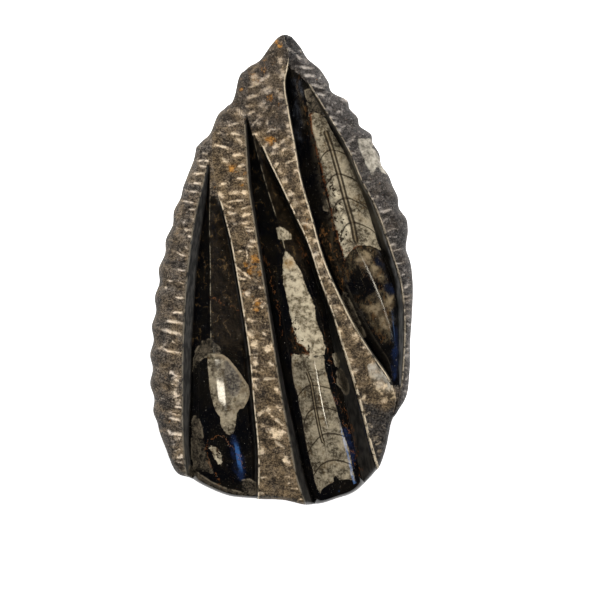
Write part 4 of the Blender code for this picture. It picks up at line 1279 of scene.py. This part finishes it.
# %% Calcite
def spar(graph, cloud, speckle, rim):
    """Cloudy calcite: honey or brown spots, cracks, pits, a painted sheen, painted shade on left
    flanks.
    """
    milk = grain(graph, 11.0, 3.0, 0.55) * 0.6 + grain(graph, 3.2, 4.0, 0.6) * 0.4
    milk = milk.ramp(0.4, 0.6)
    painted_sheen = (mark(graph, "painted_sheen") + (cloud - 0.5) * 6).ramp(-1.0, 1.4)
    milky = (mark(graph, "milky") + (cloud - 0.5) * 3).ramp(-0.6, 0.6)
    colour = milk.blend(rgb(58, 52, 42), rgb(146, 136, 115))
    brown_cloud = grain(graph, 8.0, 3.0, 0.6).ramp(0.5, 0.66)
    colour = (brown_cloud * 0.5).blend(colour, rgb(88, 71, 45))
    lumpy = crystals(graph, 3.4, "F1")
    snow = (grain(graph, 3.4, 5.0, 0.7) + lumpy * 0.12 - milk * 0.1).ramp(0.66, 0.38)
    colour = milky.blend(colour, snow.blend(rgb(84, 75, 58), rgb(184, 173, 148)))
    honey = (mark(graph, "rust_spot") + (cloud - 0.5) * 1.2).ramp(0.15, 0.9)
    colour = (honey * 0.6).blend(colour, rgb(158, 126, 80))
    # Painted shade: the calcite is darker on the left flanks, which face away from the light.
    painted_left_shade = mark(graph, "crest").ramp(-4.5, -10.0) * (cloud * 0.5 + speckle * 0.5).ramp(0.44, 0.54)
    colour = (painted_left_shade * 0.5).blend(colour, rgb(52, 46, 36))
    # Painted sheen: the blue-grey reflection on the left cap, laid into the colour.
    colour = (painted_sheen * 0.75).blend(colour, milk.blend(rgb(50, 50, 53), rgb(96, 92, 88)))
    fine_milk = grain(graph, 1.6, 3.0, 0.7).ramp(0.44, 0.64)
    colour = (fine_milk * 0.3).blend(colour, rgb(176, 166, 142))
    cracks = crystals(graph, 6.0).ramp(0.03, 0.0) * cloud.ramp(0.44, 0.56)
    colour = (cracks * 0.5).blend(colour, rgb(58, 51, 40))
    pitted = (mark(graph, "pitted") + (cloud - 0.5) * 6).ramp(-1.5, 2.0)
    colour = (pitted * milk * 0.6).blend(colour, rgb(206, 196, 170))
    specks = (speckle * 0.7 + cloud * 0.3).ramp(0.37, 0.33)
    colour = (specks * 0.6).blend(colour, rgb(42, 36, 28))
    holes = (grain(graph, 2.6, 4.0, 0.7) * 0.7 + cloud * 0.3).ramp(0.54, 0.57) * pitted
    colour = (holes * 0.95).blend(colour, rgb(24, 16, 10))
    cap = mark(graph, "painted_sheen").ramp(-10.0, -6.0)
    colour = (cap * cloud.ramp(0.36, 0.6) * 0.5).blend(colour, rgb(62, 55, 48))
    pale_rim = rim.ramp(1.9, 1.0) * mark(graph, "painted_sheen").ramp(-9.0, -6.0)
    return (pale_rim * 0.5).blend(colour, rgb(146, 132, 108))


# %% Polished stone
def polished_stone(graph):
    """Dark stone with its scraps of shell, its calcite and the fine lines over both."""
    cloud = grain(graph, 5.0, 4.0, 0.6)
    speckle = grain(graph, 1.3, 3.0, 0.7)
    threads = grain(graph, 2.4, 4.0, 0.7, stretch=(1.0, 0.45, 1.0))
    colour = dark_stone(graph, cloud, speckle, threads)
    ragged = (speckle - 0.5) * 1.6 + (cloud - 0.5) * 1.6
    rust_zone = (mark(graph, "rusty") + ragged * 1.8).ramp(-0.4, 0.8)
    rust_tone = speckle.ramp(0.44, 0.56).blend(rgb(8, 7, 5), rgb(40, 32, 21))
    rust_tone = (threads * 0.6 + cloud * 0.4).ramp(0.54, 0.6).blend(rust_tone, rgb(94, 64, 36))
    colour = (rust_zone * 0.85).blend(colour, rust_tone)
    scrap_in = mark(graph, "grey_shell") + ragged * 0.3
    scrap_tone = (cloud * 0.55 + speckle * 0.45).ramp(0.4, 0.62)
    scrap = scrap_tone.blend(rgb(22, 20, 16), rgb(88, 80, 67))
    rings = crystals(graph, 4.2).ramp(0.1, 0.02) * cloud.ramp(0.44, 0.54)
    scrap = (rings * 0.5).blend(scrap, rgb(26, 24, 21))
    colour = scrap_in.ramp(-0.3, 0.4).blend(colour, scrap)
    scrap_rim = scrap_in.size().ramp(0.7, 0.25) * cloud.ramp(0.42, 0.56)
    colour = (scrap_rim * 0.5).blend(colour, rgb(126, 116, 98))
    torn = mark(graph, "pitted").ramp(-1.0, 1.0)
    frayed = mark(graph, "milky").ramp(-4.0, -2.0)
    calcite_in = mark(graph, "calcite") + ragged * (torn * 1.6 + frayed * 0.9 + 0.55)
    calcite = calcite_in.ramp(-0.25, 0.2)
    colour = calcite.blend(colour, spar(graph, cloud, speckle, calcite_in))
    near_rust = mark(graph, "rusty").ramp(-4.0, 0.0)
    fringe = calcite_in.size().ramp(1.1, 0.2) * grain(graph, 3.5, 4.0, 0.7).ramp(0.44, 0.56)
    colour = (fringe * near_rust * 0.8).blend(colour, rgb(84, 46, 20))
    wavy = mark(graph, "chamber") + (cloud - 0.5) * 0.1
    septa = wavy.node("ShaderNodeMath", {"operation": "PINGPONG"}, {0: wavy, 1: 0.5})
    septa = septa.ramp(0.05, 0.02) * calcite
    colour = (septa * 0.85).blend(colour, rgb(34, 28, 21))
    tube = mark(graph, "siphuncle").size() + (speckle - 0.5) * 0.5
    colour = (tube.ramp(1.15, 0.8) * 0.45).blend(colour, rgb(120, 106, 82))
    tube_wall = (tube - 1.0).size().ramp(0.85, 0.4) * calcite.ramp(0.0, 0.6)
    colour = (tube_wall * 0.9).blend(colour, rgb(30, 25, 19))
    vein = (mark(graph, "vein") + (grain(graph, 3.0, 3.0, 0.6) - 0.5) * 9.0).size()
    vein = vein.ramp(0.45, 0.12) * grain(graph, 3.5, 2.0).ramp(0.42, 0.56)
    colour = (vein * 0.7).blend(colour, rgb(100, 64, 36))
    worn = mark(graph, "edge").size().ramp(0.6, 0.2) * grain(graph, 3.0, 2.0).ramp(0.36, 0.46)
    colour = (worn * mark(graph, "arris") * 0.9).blend(colour, rgb(200, 186, 160))
    gloss = mark(graph, "wall").pick(0.045, 0.4) + (cloud - 0.5) * 0.02
    gloss = gloss + mark(graph, "facet") * 0.42 + mark(graph, "smoke").ramp(-6.0, -2.0) * 0.1
    height = speckle * 0.004 + cloud * 0.008 - (vein + tube_wall) * 0.01
    return colour, gloss, height


# %% [markdown]
# One skin carries both finishes.  The number that says how far a channel is ground is compared
# with a little noise, so the polish ends in a ragged line, as a grinder leaves it.

# %% One face, two finishes
def carved_face(graph):
    """Polished where the face is ground and chiselled elsewhere, with a ragged change."""
    ground = (mark(graph, "polish") + (grain(graph, 1.8, 3.0) - 0.5) * 0.7).ramp(0.32, 0.5)
    rough_look, polished_look = chiselled_stone(graph), polished_stone(graph)
    return (ground.blend(rough_look[0], polished_look[0]),
            ground.pick(rough_look[1], polished_look[1]),
            ground.pick(rough_look[2], polished_look[2]))


# %% [markdown]
# The back was sawn from the block and never dressed.  A saw leaves long fine ridges in one
# direction, a flat grey and a little stone dust.  Noise stretched along one axis gives the
# ridges, which are too fine to be worth modelling.

# %% Sawn back
def sawn_back(graph):
    """Grey sawn stone with faint saw marks."""
    kerf = grain(graph, 1.1, 2.0, 0.6, stretch=(0.04, 1.0, 1.0))
    mottle = grain(graph, 11.0, 4.0, 0.6)
    tone = (kerf * 0.4 + mottle * 0.6).ramp(0.34, 0.66)
    colour = tone.blend(rgb(74, 68, 60), rgb(122, 114, 102))
    dust = grain(graph, 24.0, 3.0).ramp(0.5, 0.7)
    colour = (dust * 0.4).blend(colour, rgb(158, 150, 136))
    return colour, kerf.pick(0.6, 0.8), kerf * 0.18 + mottle * 0.1


mesh.materials.append(finish("carved_limestone", carved_face))
mesh.materials.append(finish("sawn_limestone", sawn_back))

# %% [markdown]
# ## Floor, light and camera
#
# The slab lies on a plain pale floor.  The camera looks straight down through a long lens, so
# that the stone keeps its true outline.  Polished stone is as dark as what it mirrors, so the
# lamps are split as in a studio with flags: two large soft lamps light the stone but are kept
# out of its reflections, and three small ones show only as reflections, a cream glint near the
# lens and two blue windows.  A dim sky fills the shade.

# %% Floor
FLOOR_SIZE = 6.0
FLOOR_GREY = (0.86, 0.86, 0.86)
FLOOR_GLOW = 1.1          # keeps the slab's shadow on the floor faint
FLOOR_GAP = 0.0002
bm = bmesh.new()
bmesh.ops.create_grid(bm, x_segments=1, y_segments=1, size=FLOOR_SIZE / 2)
floor_mesh = bpy.data.meshes.new("floor")
bm.to_mesh(floor_mesh)
bm.free()
floor = bpy.data.objects.new("floor", floor_mesh)
floor.location.z = -FLOOR_GAP
bpy.context.collection.objects.link(floor)
floor_paint = bpy.data.materials.new("pale_floor")
floor_paint.use_nodes = True
floor_look = floor_paint.node_tree.nodes["Principled BSDF"].inputs
floor_look["Base Color"].default_value = (*FLOOR_GREY, 1)
floor_look["Roughness"].default_value = 0.9
floor_look["Emission Color"].default_value = (*FLOOR_GREY, 1)
floor_look["Emission Strength"].default_value = FLOOR_GLOW
floor_mesh.materials.append(floor_paint)


# %% Lights
def softbox(name, place, aim, size, watts, colour, mirrored):
    """A soft light, size across and along Y, that only shines or only shows in reflections."""
    lamp = bpy.data.lights.new(name, "AREA")
    lamp.shape = "RECTANGLE"
    lamp.size, lamp.size_y = size
    lamp.energy = watts
    lamp.color = colour
    holder = bpy.data.objects.new(name, lamp)
    away = (Vector(place) - Vector(aim)).normalized()
    across = Vector((0, 1, 0)).cross(away).normalized()
    holder.matrix_world = Matrix.Translation(place) @ Matrix(
        (across, away.cross(across), away)).transposed().to_4x4()
    holder.visible_glossy = mirrored
    holder.visible_diffuse = not mirrored
    bpy.context.collection.objects.link(holder)


CENTRE = (0.012, -0.02, 0.03)     # where every lamp aims, in metres
softbox("daylight", (0.15, 1.15, 1.1), CENTRE, (0.9, 0.5), 36.0, (1.0, 0.97, 0.94), False)
softbox("ceiling", (0.2, -0.2, 2.3), CENTRE, (1.4, 1.4), 19.5, (1.0, 0.98, 0.96), False)
softbox("shell_glint", (0.17, -0.135, 2.4), CENTRE, (0.22, 0.105), 1.6, (1.0, 0.92, 0.76), True)
softbox("foot_window", (0.46, -0.42, 2.4), CENTRE, (0.17, 0.11), 0.33, (0.12, 0.38, 1.0), True)
softbox("side_window", (1.96, 0.09, 1.45), CENTRE, (0.5, 0.075), 0.65, (0.25, 0.48, 1.0), True)
sky = bpy.data.worlds.new("studio")
sky.use_nodes = True
sky.node_tree.nodes["Background"].inputs["Color"].default_value = (0.9, 0.95, 1.0, 1)
sky.node_tree.nodes["Background"].inputs["Strength"].default_value = 0.04
bpy.context.scene.world = sky
bpy.context.scene.view_settings.view_transform = "Standard"

# %% Camera
CAMERA_HEIGHT = 1.8
FRAME_WIDTH = 0.3828      # width that the camera takes in at CENTRE's height
SENSOR_WIDTH = 36.0
CAMERA_PLACE = (0.01172, -0.0196, CAMERA_HEIGHT)
lens = bpy.data.cameras.new("overhead")
lens.sensor_width = SENSOR_WIDTH
lens.lens = SENSOR_WIDTH * (CAMERA_HEIGHT - CENTRE[2]) / FRAME_WIDTH
camera = bpy.data.objects.new("overhead", lens)
camera.location = CAMERA_PLACE
bpy.context.collection.objects.link(camera)
bpy.context.scene.camera = camera
print("lens:", round(lens.lens), "mm")
